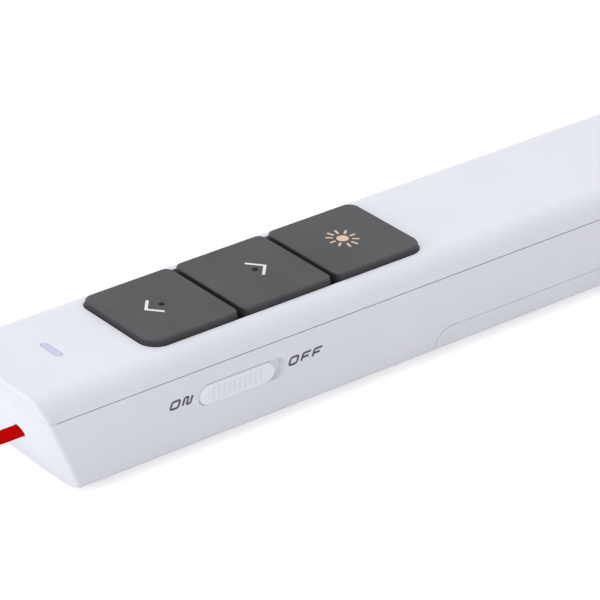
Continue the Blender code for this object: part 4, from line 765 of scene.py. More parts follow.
# %% Pockets, slots and rails of the tub
pocket_spans = [
    (BAY_START, BAY_END, -CELL_HALF, CELL_HALF), (BAY_START, BAY_END, -TUB_HALF, -DIVIDER_HALF),
    (BAY_START, BAY_END, DIVIDER_HALF, TUB_HALF), (ROOM_START, ROOM_END, -TUB_HALF, TUB_HALF),
]
pockets = [box((x0, y0, -PAST), (x1, y1, BAY_HIGH)) for x0, x1, y0, y1 in pocket_spans]
lower = carve(lower, merged(*pockets))
PLATES = (NOSE + 78.41, NOSE + 127.41)
PLATE_SLOTS = ((6.05, -PAST, 12.4), (1.5, 10.6, 15.6))
for half, low, high in PLATE_SLOTS:
    lower = carve(lower, merged(*[box((x - 0.1, -half, low), (x + 0.4, half, high)) for x in PLATES]))
rail = [(9.7, 1.8), (11.2, 1.8), (11.2, 2.3), (10.6, 2.3), (10.6, 4.15), (9.7, 4.15)]
kept = [
    prism([(side * y, z) for y, z in rail], BAY_START + COVER_CORNER, ROOM_END - GAP, "YZ")
    for side in (-1, 1)
]
kept += [
    box((ROOM_START - SINK, low, 9.5), (ROOM_END + SINK, low + 1, 13.0))
    for low in (-5.6, 4.6)
]
lower = carve(lower, merged(*kept), "UNION")
print("with its tub:", len(lower.polygons), "faces")

# %% [markdown]
# The switch's knob runs in a pocket in the leaning side. A matrix that stands on that side lets
# the pocket, the knob and the words beside it be drawn flat, as if the side stood upright, and
# turned into place afterwards.

# %% Knob pocket, holes and the finished lower casing
KNOB_START, KNOB_LONG, KNOB_HIGH, KNOB_Z = NOSE + 29.04, 14.4, 3.5, 8.1
KNOB_X = KNOB_START + KNOB_LONG / 2
SIDE_FRAME = Matrix.Translation(Vector((0, -side_at(KNOB_Z), KNOB_Z)) * MM) @ Matrix.Rotation(LEAN, 4, "X")


def stadium(start, end, height, steps=24):
    """A bar with round ends, in X and along the side's slope."""
    radius = height / 2
    return rounded((start, -radius), (end, radius), (radius,) * 4, steps)


def on_side(levels):
    """A solid on the near side from (distance out of the side, outline) pairs."""
    mesh = loft([[(x, -level, z) for x, z in ring] for level, ring in levels])
    mesh.transform(SIDE_FRAME)
    return mesh


POCKET_FRONT, POCKET_BACK, POCKET_HIGHER, POCKET_UP = 0.1, 1.6, 0.24, 0.07


def pocket_outline(grow, tail):
    """The knob's pocket with room for its travel; its tail end slopes up to the side."""
    start, end = KNOB_START - POCKET_FRONT - grow, KNOB_START + KNOB_LONG + POCKET_BACK + tail
    return [(x, z + POCKET_UP) for x, z in stadium(start, end, KNOB_HIGH + POCKET_HIGHER + 2 * grow)]


POCKET_LEVELS = ((-0.85, (0, 0)), (0, (0.03, 0.6)), (0.4, (0.06, 0.9)))
slot = stadium(KNOB_X - 2.55, KNOB_X + 4.05, 2.0, 12)
BARREL_HOLD, APERTURE = 3.9, 1.2
holes = [
    *posts(FLOOR, 7.6, SCREW_HOLE, FRONT_SCREWS),
    *posts(10.6, 15.6, SCREW_HOLE, BAY_SCREWS),
    *posts(FLOOR, 5.0, SCREW_HOLE, BOARD_SCREWS),
    rod((BARREL_FRONT + 1.7, LASER_Y, LASER_Z), (BARREL_END, LASER_Y, LASER_Z), BARREL_HOLD, 64),
    rod((NOSE - PAST, LASER_Y, LASER_Z), (BARREL_FRONT - GAP, LASER_Y, LASER_Z), APERTURE, 64),
    *[box((TUB_FRONT - 2, y - 0.7, 12.2), (BAY_START + 1, y + 0.7, 15.6)) for y in (-3, 3)],
    on_side([(level, pocket_outline(*grown)) for level, grown in POCKET_LEVELS]),
]
lower = carve(lower, merged(*holes))
recesses = posts(DEEP, 2.7, 1.6, FRONT_SCREWS, 40)
lower = carve(lower, merged(on_side([(-3.8, slot), (0, slot)]), *recesses))
print("faces that took the form's shading:", shade_like_form(lower))
show("lower_casing", lower, "casing", white_shell, "white_abs", "bottom_shell")

# %% [markdown]
# ## Battery cover
# The cover is the tail half of the belly. It slides off backwards: two ridges run in the rails,
# two hooks at its front end slide over the floor, and five grooves under it give the thumb a hold.
# Two troughs keep its wall thin, with a spine between them that carries the cell. The grooves have
# round ends and rims, because a mould leaves no sharp pocket.

# %% Sliding battery cover
SPINE_HALF, COVER_FLOOR, COVER_INSIDE = 1.2, 1.5, 11.5
cover = carve(prism(cover_side(0), -SLAB_HALF, SLAB_HALF, "XZ"), form, "INTERSECT")
inside = box((COVER_START - PAST, -COVER_INSIDE, COVER_FLOOR), (TAIL - TAIL_WALL, COVER_INSIDE, 5.55))
cover = carve(cover, inside)
spans = [sorted((side * SPINE_HALF, side * TROUGH_HALF)) for side in (-1, 1)]
troughs = [box((NOSE + 79.01, near, -0.6), (NOSE + 123.51, far, 3.5)) for near, far in spans]
cover = carve(cover, merged(*troughs))
hooks = []
for side in (-1, 1):
    near, far = sorted((side * 10.9, side * 11.9))
    hooks.append(box((COVER_START + 4.1, near, 2.6), (TAIL - TAIL_WALL, far, 3.1)))
    x0, x1, x2 = COVER_START - 1.6, COVER_START + 1.8, COVER_START + 2.8
    outline = [(x0, 1.9), (x1, 1.9), (x1, 1.1), (x2, 1.1), (x2, 2.9), (x0, 2.9)]
    near, far = sorted((side * 6.7, side * 8.8))
    hooks.append(prism(outline, near, far, "XZ"))
    near, far = sorted((side * 3.6, side * 4.6))
    hooks.append(box((NOSE + 129.41, near, 1.1), (NOSE + 143.41, far, 2.9)))
cover = carve(cover, merged(*hooks), "UNION")


GROOVE_COUNT, GROOVE_PITCH, GROOVE_WIDE, GROOVE_HALF, GROOVE_DEEP = 5, 1.8, 0.9, 6, 0.5


def groove_outline(x):
    """One thumb groove's outline, as a function of how far it has grown."""
    def outline(grow):
        low, high = (x - grow, -GROOVE_HALF - grow), (x + GROOVE_WIDE + grow, GROOVE_HALF + grow)
        return rounded(low, high, (0.44 + grow,) * 4, 10)

    return outline


groove_places = [COVER_START + 5.5 + i * GROOVE_PITCH for i in range(GROOVE_COUNT)]
grooves = [rimmed(groove_outline(x), BELLY - GROOVE_DEEP, BELLY, 0.15) for x in groove_places]
for groove in grooves:
    groove.transform(Matrix.Scale(-1, 4, (0, 0, 1)))
    groove.flip_normals()
cover = carve(cover, merged(*grooves))
print("faces that took the form's shading:", shade_like_form(cover))
show("sliding_cover", cover, "cover", white_shell, "white_abs", "battery_cover")

# %% [markdown]
# ## Keys
# The three keys are one rubbery family: a cap with a soft edge, a flange that the roof holds down
# and a stem over the switch. The outer corners follow the window, the inner ones are tighter. The
# cap is a loft whose last rings draw in along a quarter circle; one more ring just inside it keeps
# the flat top flat in the shading. The caps' walls are painted darker towards the gap: painted shade.

# %% Caps, flanges, stems and nubs
KEY_LOW, KEY_TOP, KEY_EDGE = 14.38, 17.83, 0.36
KEY_ROOM, KEY_DRAFT = 0.14, 0.16
# Painted shade: below the top edge the key rubber turns darker, for the shade in the gap round each cap.
tree = key_rubber.node_tree
shader = tree.nodes["Principled BSDF"]
place = add_node(tree, "ShaderNodeTexCoord").outputs["Object"]
level = add_node(tree, "ShaderNodeSeparateXYZ", Vector=place).outputs["Z"]
painted_wall_shade = curve_between(tree, level, (KEY_TOP + BELLY - 0.18) * MM, (KEY_TOP + BELLY - 0.40) * MM)
colour = shader.inputs["Base Color"].links[0].from_socket
tree.links.new(between(tree, painted_wall_shade, colour, (0.027, 0.027, 0.031)), shader.inputs["Base Color"])


def key_cap(start, end, radii):
    """A key's cap with its soft upper edge."""
    def outline(inset):
        half = KEY_HALF - KEY_ROOM - inset
        low, high = (start + inset, -half), (end - inset, half)
        return rounded(low, high, [max(0.06, r - inset) for r in radii], 14)

    levels = [(KEY_LOW, 0.0), (TOP, 0.0), (KEY_TOP - KEY_EDGE - 0.05, KEY_DRAFT)]
    for i in range(13):
        a = pi / 2 * i / 12
        levels.append((KEY_TOP - KEY_EDGE + KEY_EDGE * sin(a), KEY_DRAFT + KEY_EDGE * (1 - cos(a))))
    levels += [(KEY_TOP, KEY_DRAFT + KEY_EDGE + 0.04), (KEY_TOP, KEY_DRAFT + KEY_EDGE + 0.5)]
    return loft([[(x, y, z) for x, y in outline(inset)] for z, inset in levels])


NUB_RADIUS, NUB_HIGH = 0.5, 0.19


def nub(x, y):
    """A low round bump that the thumb finds."""
    profile = [(0, -GAP), (NUB_RADIUS, -GAP)]
    profile += [(NUB_RADIUS * cos(a), NUB_HIGH * sin(a)) for a in [pi / 2 * i / 8 for i in range(8)]]
    return lathe([*profile, (0, NUB_HIGH)], (x, y, KEY_TOP), 32, "Z")


key_nubs = {"key_back": (NOSE + 31.85, 0.0), "key_forward": (NOSE + 50.08, 0.26)}
NEAR_CORNER, FAR_CORNER, INNER_CORNER = 2.95, 2.05, 1.5
key_radii = {
    "key_back": (NEAR_CORNER, INNER_CORNER, INNER_CORNER, FAR_CORNER),
    "key_forward": (INNER_CORNER,) * 4,
    "key_laser": (INNER_CORNER, NEAR_CORNER, FAR_CORNER, INNER_CORNER),
}
key_bodies = {"key_back": "back_press", "key_forward": "forward_press", "key_laser": "laser_press"}
FLANGE_HALF, FLANGE_INSET, FLANGE_TOP, STEM_LOW, STEM_RADIUS = 10.25, 1.5, 14.93, 11.3, 1.7
for i, (name, radii) in enumerate(key_radii.items()):
    low, high = NOSE + KEYPAD[i], NOSE + KEYPAD[i + 1]
    start = low + (KEY_ROOM if i == 0 else GAP)
    end = high - (KEY_ROOM if i == 2 else GAP)
    x = (low + high) / 2
    flange_low, flange_high = low + FLANGE_INSET, high - FLANGE_INSET
    flange = box((flange_low, -FLANGE_HALF, KEY_LOW), (flange_high, FLANGE_HALF, FLANGE_TOP))
    cap = carve(key_cap(start, end, radii), flange, "UNION")
    cap = carve(cap, rod((x, 0, STEM_LOW), (x, 0, FLANGE_TOP - 0.15), STEM_RADIUS), "UNION")
    show(f"{name}_cap", shade(cap), key_bodies[name], key_rubber, "key_grey", name)
for name, place in key_nubs.items():
    show(f"{name}_nub", shade(nub(*place)), key_bodies[name], nub_painted_shade, "key_grey")

# %% [markdown]
# ## Printed marks
# The marks on the keys and the words beside the switch are printed ink. Painting them in a shader
# would need a picture or a lot of maths; a stroke of the right width along a line is simpler and
# stays sharp at any size. Each stroke is a thin band, two hundredths of a millimetre high.

# %% Strokes with mitred corners
INK_HIGH = 0.02


def band(points, width, closed=False):
    """The two edges of a stroke along a line of points, as outlines to fill."""
    count = len(points)
    left, right = [], []
    for i, point in enumerate(points):
        before = points[i - 1] if i or closed else None
        after = points[(i + 1) % count] if i < count - 1 or closed else None
        here = Vector(point)
        ways = []
        if before is not None:
            ways.append((here - Vector(before)).normalized())
        if after is not None:
            ways.append((Vector(after) - here).normalized())
        mean = sum(ways, Vector((0, 0))).normalized()
        across = Vector((-mean.y, mean.x)) * width / 2 / max(0.4, mean.dot(ways[0]))
        left.append(here + across)
        right.append(here - across)
    return left, right


def stroke(points, width, closed=False, low=0.0):
    """A thin printed band along a line, standing on the drawing's plane."""
    left, right = band(points, width, closed)
    rings = []
    for a, b in zip(left, right):
        rings.append([(a.x, a.y, low), (b.x, b.y, low), (b.x, b.y, INK_HIGH), (a.x, a.y, INK_HIGH)])
    points = [point for ring in rings for point in ring]
    return mesh_of(points, ring_faces(len(rings), 4, closed))


def eased(corners, radius, closed=False, steps=6):
    """A line through corners with each corner rounded."""
    line = []
    count = len(corners)
    for i, corner in enumerate(corners):
        here = Vector(corner)
        if not closed and i in (0, count - 1):
            line.append(tuple(here))
            continue
        before, after = Vector(corners[i - 1]), Vector(corners[(i + 1) % count])
        reach = min(radius, (before - here).length * 0.48, (after - here).length * 0.48)
        start = here + (before - here).normalized() * reach
        end = here + (after - here).normalized() * reach
        for step in range(steps + 1):
            t = step / steps
            line.append(tuple(start * (1 - t) ** 2 + here * 2 * t * (1 - t) + end * t * t))
    return line


white_ink = plastic("white_ink", (0.84, 0.84, 0.87), (0.78, 0.78, 0.81), (0.45, 0.55))
peach_ink = plastic("peach_ink", (0.80, 0.56, 0.41), (0.72, 0.50, 0.37), (0.45, 0.55))
grey_ink = plastic("grey_ink", (0.062, 0.058, 0.076), (0.085, 0.08, 0.10), (0.45, 0.55))

# %% Chevrons and sun on the keys
def on_key(mesh):
    """Lifts a drawing onto the keys' tops."""
    mesh.transform(Matrix.Translation((0, 0, KEY_TOP * MM)))
    return mesh


def print_on(name, mesh, body, ink):
    """A printed mark that rides on a body."""
    return show(name, mesh, body, ink, None)


back_mark = [(NOSE + 30.78, 2.25), (NOSE + 28.91, 0), (NOSE + 30.78, -2.25)]
forward_mark = [(NOSE + 49.98, 2.77), (NOSE + 52.03, 0.26), (NOSE + 49.98, -2.03)]
print_on("back_mark", on_key(stroke(back_mark, 0.5)), "back_press", white_ink)
print_on("forward_mark", on_key(stroke(forward_mark, 0.48)), "forward_press", white_ink)

SUN = (NOSE + 67.38, 0.02)
RAY_ENDS = (
    (-0.78, 2.95), (0.74, 2.91), (2.14, 1.82), (2.52, -0.02), (2.02, -1.76),
    (0.71, -2.97), (-0.82, -3.04), (-2.1, -1.73), (-2.54, -0.02), (-2.0, 1.87),
)
disc = prism([(SUN[0] + cos(a), SUN[1] + sin(a)) for a in angles(48)], 0, INK_HIGH)
rays = []
for x, y in RAY_ENDS:
    rays.append(stroke([(SUN[0] + x * s, SUN[1] + y * s) for s in (0.57, 1.0)], 0.38))
print_on("sun_mark", on_key(merged(disc, *rays)), "laser_press", peach_ink)

# %% [markdown]
# The words ON and OFF are drawn from the same strokes: wide, slanted letters of one line width.
# Each letter is a few corners on a small grid; the slant moves every point to the right by a share
# of its height.

# %% The words beside the switch
LETTER_HIGH, SLANT, LETTER_STROKE = 1.27, 0.31, 0.38


def letter(kind, x, z, width):
    """A letter's strokes from its lower left corner, on the near side."""
    high, middle, bar = LETTER_HIGH, width / 2, LETTER_HIGH * 0.46
    ring = [(0, 0), (width, 0), (width, high), (0, high)]
    zigzag = [(0, 0), (0, high), (middle, high), (middle, 0), (width, 0), (width, high)]
    hook = [(0, 0), (0, high), (width, high)]
    lines = {
        "O": [(eased(ring, 0.42, True), True)],
        "N": [(eased(zigzag, 0.3), False)],
        "F": [(eased(hook, 0.3), False), ([(0, bar), (width * 0.82, bar)], False)],
    }
    meshes = []
    for points, closed in lines[kind]:
        slanted = [(x + u + SLANT * v, z - KNOB_Z + v) for u, v in points]
        meshes.append(stroke(slanted, LETTER_STROKE, closed))
    return meshes


def word(name, letters):
    """A word on the near side from (letter, x, z, width) rows."""
    mesh = merged(*[part for row in letters for part in letter(*row)])
    mesh.transform(SIDE_FRAME @ Matrix.Rotation(pi / 2, 4, "X"))
    return print_on(name, mesh, "casing", grey_ink)


on_low, off_low = 7.9, 7.82
on_rows = [("O", NOSE + 23.6, on_low, 1.5), ("N", NOSE + 25.95, on_low, 1.45)]
off_places = (("O", 46.28), ("F", 48.7), ("F", 50.9))
word("on_word", on_rows)
word("off_word", [(kind, NOSE + x, off_low, 1.5) for kind, x in off_places])

# %% [markdown]
# ## Power knob
# The knob is a bar with round ends whose face carries soft upright ribs. Cutting ribs gives sharp
# grooves; here the face is a fine grid instead, and its height is worked out for each point: a
# quarter-round rim that rises from the edge, plus a wave along the length where the ribs are. The
# same wave in the shader paints the grooves darker: painted shade.

# %% Knob with a ribbed face
RIB_PITCH, RIB_COUNT, RIB_DEEP = 1.0, 11, 0.11
KNOB_PROUD, KNOB_RIM = 0.24, 0.22


def knob_height(x, z, inset):
    """How far the knob's face stands out of the side; its top and nose end fall away gently."""
    straight = (KNOB_LONG - KNOB_HIGH) / 2
    past = Vector((x - max(-straight, min(straight, x)), z)).normalized()
    top, nose = max(0.0, past.y), max(0.0, -past.x) ** 2
    wide, deep = KNOB_RIM + 0.5 * top + 1.3 * nose, KNOB_RIM + 0.35 * top + 0.5 * nose
    share = min(1.0, inset / wide)
    rim = KNOB_PROUD - deep + deep * (1 - (1 - share) ** 2) ** 0.5
    reach = RIB_COUNT * RIB_PITCH / 2
    along = (reach - abs(x)) / 0.3
    across = (1.25 - abs(z)) / 0.35
    window = min(1.0, max(0.0, along)) * min(1.0, max(0.0, across))
    window = window * window * (3 - 2 * window)
    wave = 0.5 + 0.5 * cos(2 * pi * x / RIB_PITCH)
    return rim - RIB_DEEP * window * (1 - wave)


def knob_ring(inset, straight=110, turn=20):
    """A stadium drawn in by inset, with points close enough to carry the ribs."""
    radius = KNOB_HIGH / 2 - inset
    half = KNOB_LONG / 2 - KNOB_HIGH / 2
    points = [(half - 2 * half * i / straight, radius) for i in range(straight)]
    points += arc((-half, 0), radius, 90, 270, turn)[:-1]
    points += [(-half + 2 * half * i / straight, -radius) for i in range(straight)]
    points += arc((half, 0), radius, -90, 90, turn)[:-1]
    return points


insets = [KNOB_RIM * (1 - cos(pi / 2 * i / 8)) for i in range(9)]
insets += [KNOB_RIM + (KNOB_HIGH / 2 - KNOB_RIM) * i / 20 for i in range(1, 21)]
rings = [[(KNOB_X + x, 0.7, z) for x, z in knob_ring(0)]]
for inset in insets:
    rings.append([(KNOB_X + x, -knob_height(x, z, inset), z) for x, z in knob_ring(inset)])
knob_points = [point for ring in rings for point in ring]
knob = welded(mesh_of(knob_points, ring_faces(len(rings), len(rings[0]))[:-1]))
knob.transform(SIDE_FRAME)
stem_out, stem_in = 0.3 - side_at(KNOB_Z), 2.4 - side_at(KNOB_Z)
knob = carve(knob, box((KNOB_X - 2.25, stem_out, 7.4), (KNOB_X + 2.25, stem_in, 8.8)), "UNION")
knob = carve(knob, box((KNOB_X - 0.75, stem_in - 0.9, 5.4), (KNOB_X + 0.75, stem_in + 2, 10.8)))
# Painted shade: the grooves between the ribs get a darker colour than the smooth rim.
tree = white_knob.node_tree
shader = tree.nodes["Principled BSDF"]
place = add_node(tree, "ShaderNodeTexCoord").outputs["Object"]
middle = (KNOB_X * MM, 0, (KNOB_Z + BELLY) * MM)
place = add_node(tree, "ShaderNodeVectorMath", {"operation": "SUBTRACT"}, i0=place, i1=middle).outputs[0]
split = add_node(tree, "ShaderNodeSeparateXYZ", Vector=place).outputs
wave = sum_of(tree, "COSINE", sum_of(tree, "MULTIPLY", split["X"], 2 * pi / (RIB_PITCH * MM)), 0.0)
reach = RIB_COUNT * RIB_PITCH / 2
inside = curve_between(tree, sum_of(tree, "ABSOLUTE", split["X"], 0.0), reach * MM, (reach - 0.4) * MM)
within = curve_between(tree, sum_of(tree, "ABSOLUTE", split["Z"], 0.0), 1.35 * MM, 0.95 * MM)
groove = curve_between(tree, wave, 0.9, -0.6)
painted_groove_shade = sum_of(tree, "MULTIPLY", groove, sum_of(tree, "MULTIPLY", inside, within))
colour = shader.inputs["Base Color"].links[0].from_socket
tree.links.new(between(tree, painted_groove_shade, colour, (0.81, 0.82, 0.885)), shader.inputs["Base Color"])
show("ribbed_knob", shade(knob, 50), "power", white_knob, "white_abs", "power_knob")

# %% [markdown]
# ## Indicator window
# A small lilac window lies flush in the roof, over the lamp. It has a flange under the roof that
# keeps it from falling out, and its upper edge is just broken. Its plastic is tinted all through,
# so a smooth coat over a cloudy colour looks right without tracing light through it.

# %% Lilac window
lilac = plastic(
    "lilac_window", (0.60, 0.60, 0.83), (0.56, 0.56, 0.80), (0.2, 0.3), Coat_Weight=0.3,
    Coat_Roughness=0.1,
)
LENS_FLANGE, LENS_LOW = 0.65, 14.33
levels = [
    (LENS_LOW, LENS_FLANGE), (FLANGE_TOP, LENS_FLANGE), (FLANGE_TOP, 0.0),
    (TOP - 0.06, 0.0), (TOP - 0.02, -0.015), (TOP, -0.05), (TOP, -0.12),
]
window = loft([[(x, y, z) for x, y in lamp_opening(grow)] for z, grow in levels])
show("lilac_lens", shade(window), "casing", lilac, "lamp_lilac", "lamp_window")

# %% [markdown]
# ## Laser module
# The laser module is turned brass with a small lens at the front and the diode pressed in from
# behind. Turned parts are a profile spun round an axis; each profile below goes once round the
# metal, so bores and steps come with it.

# %% Barrel, ring, lens and diode
def turned_piece(name, profile, x, finish, slot, node, steps=72, body="casing"):
    """A piece turned round the laser's axis."""
    return show(name, shade(lathe(profile, (x, LASER_Y, LASER_Z), steps)), body, finish, slot, node)


barrel = [
    (3.6, 9.25), (3.6, 0.15), (3.45, 0), (2.3, 0), (2.2, 0.1), (2.2, 2.8), (1.2, 2.8), (1.2, 4.3),
    (3.1, 4.3), (3.1, 9.4), (3.45, 9.4),
]
turned_piece("turned_barrel", barrel, BARREL_FRONT, brass, "brass", "laser_barrel")
LENS_RADIUS, LENS_EDGE, LENS_BULGE = 1.9, 0.75, 0.42
ring = [
    (LENS_RADIUS, 0.62), (LENS_RADIUS, 0.08), (1.82, 0), (1.38, 0), (1.3, 0.08), (1.3, 0.7), (1.82, 0.7),
]
turned_piece("ring_of_lens", ring, BARREL_FRONT + GAP, nickel, "steel", "lens_ring", 64)
dome = []
for i in range(10):
    a = pi / 2 * i / 10
    dome.append((LENS_RADIUS * cos(a), LENS_EDGE + LENS_BULGE * sin(a)))
glass = bpy.data.materials.new("coated_glass")
glass.use_nodes = True
tree = glass.node_tree
place = add_node(tree, "ShaderNodeTexCoord").outputs["Object"]
haze = add_node(tree, "ShaderNodeTexNoise", Vector=place, Scale=900.0, Detail=2.0).outputs["Fac"]
shader = tree.nodes["Principled BSDF"]
tree.links.new(between(tree, haze, (0.95, 0.80, 0.78), (0.88, 0.72, 0.78)), shader.inputs["Base Color"])
shader.inputs["Roughness"].default_value = 0.04
shader.inputs["Transmission Weight"].default_value = 1.0
shader.inputs["IOR"].default_value = 1.52
lens = [*reversed(dome), (LENS_RADIUS, 0), (0, 0), (0, LENS_EDGE + LENS_BULGE)]
turned_piece("domed_lens", lens, BARREL_FRONT + 1.3, glass, "lens_glass", "laser_lens", 64)


def dressed(name, node, body, finish, slot, angle=40):
    """A smooth-shaded copy of a CAD node for a shape that is right as it is."""
    mesh = welded(frame["nodes"][node].data.copy())
    mesh.transform(LIFT.inverted())
    return show(name, shade(mesh, angle), body, finish, slot, node)


dressed("diode_can", "laser_diode", "casing", nickel, "steel")

# %% [markdown]
# ## Battery bay
# With the cover off, the bay shows a wrapped dry cell between a flat contact and a cone spring,
# and the stored receiver behind it. The cell's can is a profile turned round X; its printed wrap
# is only a few bands of colour along its length, so the shader places them by distance.

# %% Dry cell
CELL_X, CELL_Z, CELL_R = NOSE + 79.01, 7.05, 5.25
wrap = plastic(
    "cell_wrap", (0.05, 0.13, 0.34), (0.04, 0.11, 0.30), (0.25, 0.35), Coat_Weight=0.4,
    Coat_Roughness=0.15,
)
tree = wrap.node_tree
shader = tree.nodes["Principled BSDF"]
place = add_node(tree, "ShaderNodeTexCoord").outputs["Object"]
along = add_node(tree, "ShaderNodeSeparateXYZ", Vector=place).outputs["X"]
colour = shader.inputs["Base Color"].links[0].from_socket
BARE, GOLD = (0.66, 0.66, 0.68), (0.70, 0.62, 0.42)
BANDS = ((0.0, 3.4, BARE), (9.0, 9.7, GOLD), (10.4, 11.1, GOLD), (43.3, 46.0, BARE))
for start, end, paint in BANDS:
    middle, half = (CELL_X + (start + end) / 2) * MM, (end - start) / 2 * MM
    compared = add_node(tree, "ShaderNodeMath", {"operation": "COMPARE"}, i0=along, i1=middle, i2=half)
    colour = between(tree, compared.outputs[0], colour, paint)
tree.links.new(colour, shader.inputs["Base Color"])
can = [
    (0, 44.5), (4.65, 44.5), (4.95, 44.4), (5.2, 44.1), (CELL_R, 43.8), (CELL_R, 1.7),
    (5.2, 1.4), (4.95, 1.1), (4.65, 1.0), (4.05, 1.0), (4.05, 2.2), (0, 2.2),
]
show("wrapped_cell", shade(lathe(can, (CELL_X, 0, CELL_Z), 96)), "casing", wrap, "cell_label", "cell_can")
cap = [
    (0, 1.9), (3.75, 1.9), (3.75, 1.4), (3.65, 1.3), (2.0, 1.3), (1.9, 1.2), (1.9, 0.15), (1.75, 0),
    (0, 0),
]
show("cell_nub", shade(lathe(cap, (CELL_X, 0, CELL_Z), 72)), "casing", nickel, "steel", "cell_cap")


# %% Spring as one swept wire
def swept(path, radius, sides=16):
    """A round wire along a path, its ring carried from point to point without twisting."""
    path = [Vector(point) for point in path]
    way = (path[1] - path[0]).normalized()
    across = way.orthogonal().normalized()
    rings = []
    for i, point in enumerate(path):
        ahead = path[min(i + 1, len(path) - 1)] - path[max(i - 1, 0)]
        turn = way.rotation_difference(ahead.normalized())
        across = turn @ across
        way = ahead.normalized()
        side = way.cross(across)
        rings.append([point + (across * cos(a) + side * sin(a)) * radius for a in angles(sides)])
    return loft(rings)


COIL_START, COIL_LONG, COIL_SMALL, COIL_LARGE, COIL_WIRE = NOSE + 124.11, 2.7, 2.2, 3.6, 0.3
COIL_TURNS, COIL_STEPS = 3, 108
coil = []
for i in range(COIL_STEPS + 1):
    share = i / COIL_STEPS
    radius, a = COIL_SMALL + (COIL_LARGE - COIL_SMALL) * share, 2 * pi * COIL_TURNS * share
    coil.append((COIL_START + COIL_LONG * share, radius * cos(a), CELL_Z + radius * sin(a)))
show("cone_spring", shade(swept(coil, COIL_WIRE)), "casing", nickel, "steel", "battery_spring")

# %% [markdown]
# ## The pieces inside
# The other CAD pieces have the right shapes already: boards, blocks, plates, screws and wires. A
# block keeps its flat faces and only gets a better surface; a round one is copied and shaded
# smooth. The circuit boards get a solder mask with tracks: the mortar of a brick pattern makes
# believable right-angled tracks, and small dots make the holes.

# %% Circuit board finish
board_green = plastic("board_green", (0.015, 0.15, 0.06), (0.012, 0.12, 0.05), (0.3, 0.4))
tree = board_green.node_tree
shader = tree.nodes["Principled BSDF"]
place = add_node(tree, "ShaderNodeTexCoord").outputs["Object"]
tracks = add_node(
    tree, "ShaderNodeTexBrick", {"offset": 0.37, "squash": 1.6}, Vector=place, Scale=420.0, Mortar_Size=0.05,
    Mortar_Smooth=0.1,
).outputs["Fac"]
dots = add_node(tree, "ShaderNodeTexVoronoi", Vector=place, Scale=520.0, Randomness=0.55).outputs["Distance"]
colour = shader.inputs["Base Color"].links[0].from_socket
colour = between(tree, tracks, colour, (0.04, 0.26, 0.12))
colour = between(tree, curve_between(tree, dots, 0.16, 0.12), colour, (0.62, 0.52, 0.28))
tree.links.new(colour, shader.inputs["Base Color"])

capacitor_tan = plastic("capacitor_tan", (0.52, 0.39, 0.25), (0.46, 0.34, 0.21), (0.35, 0.45), bevel=0.08)
lamp_body = plastic("lamp_body", (0.82, 0.82, 0.74), (0.76, 0.76, 0.66), (0.25, 0.35), bevel=0.08)
red_wire = plastic("red_wire", (0.55, 0.03, 0.025), (0.48, 0.025, 0.02), (0.35, 0.45))
black_wire = plastic("black_wire", (0.02, 0.02, 0.022), (0.03, 0.03, 0.032), (0.35, 0.45))

# %% Dress what the CAD model already shows well
DRESSED = {
    "laser_wire_red": (red_wire, "red_wire"), "lamp_wire_red": (red_wire, "red_wire"),
    "battery_wire_red": (red_wire, "red_wire"), "laser_wire_black": (black_wire, "black_plastic"),
    "lamp_wire_black": (black_wire, "black_plastic"), "battery_wire_black": (black_wire, "black_plastic"),
    "front_screw_1": (steel, "steel"), "front_screw_2": (steel, "steel"), "bay_screw_1": (steel, "steel"),
    "bay_screw_2": (steel, "steel"), "board_screw_1": (steel, "steel"), "board_screw_2": (steel, "steel"),
    "receiver_housing": (grey_plastic, "grey_plastic"),
}
for node, (finish, slot_name) in DRESSED.items():
    dressed(f"{node}_smooth", node, frame["nodes"][node]["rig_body"], finish, slot_name)
KEPT = {
    black_plastic: ("radio_chip", "boost_coil", "receiver_tongue"),
    steel: ("crystal", "power_switch", "key_back_switch", "key_forward_switch", "key_laser_switch",
            "receiver_plug", "front_contact", "tail_contact"),
    grey_plastic: ("key_back_switch_button", "key_forward_switch_button", "key_laser_switch_button",
                   "power_slider"),
    board_green: ("main_board", "lamp_board", "laser_board"),
    capacitor_tan: ("input_capacitor", "output_capacitor"),
    lamp_body: ("indicator_lamp",),
}
for finish, nodes in KEPT.items():
    for node in nodes:
        for held in frame["nodes"][node].material_slots:
            held.material = finish
left = [n for n, o in frame["nodes"].items() if not o.hide_render and n not in sum(KEPT.values(), ())]
print("nodes without a finish:", left)

# %% [markdown]
# ## Laser beam
# The photograph shows the beam as a short solid bar of red. It isn't part of the object. A glowing
# surface needs no lamp, and a second, darker red that takes the room's light keeps the bar from
# looking cut out of paper. Light throws no shadow, so the bar is left out of everything but the
# camera's own view.

# %% Beam
BEAM_REACH, BEAM_RADIUS = 9, 1.05
beam_end = (BARREL_FRONT - 0.5, LASER_Y, LASER_Z)
beam_mesh = rod((NOSE - BEAM_REACH, LASER_Y, LASER_Z), beam_end, BEAM_RADIUS, 48)
beam_mesh.transform(LIFT)
beam_red = bpy.data.materials.new("beam_red")
beam_red.use_nodes = True
tree = beam_red.node_tree
shader = tree.nodes["Principled BSDF"]
shader.inputs["Base Color"].default_value = (0.22, 0.001, 0.001, 1)
shader.inputs["Roughness"].default_value = 0.8
shader.inputs["Specular IOR Level"].default_value = 0.0
shader.inputs["Emission Color"].default_value = (1, 0.004, 0.002, 1)
seen = add_node(tree, "ShaderNodeLightPath").outputs["Is Camera Ray"]
tree.links.new(sum_of(tree, "MULTIPLY", seen, 0.3), shader.inputs["Emission Strength"])
beam_mesh.materials.append(beam_red)
beam = bpy.data.objects.new("beam", shade(beam_mesh))
beam.visible_shadow = beam.visible_diffuse = beam.visible_glossy = False
bpy.context.scene.collection.objects.link(beam)

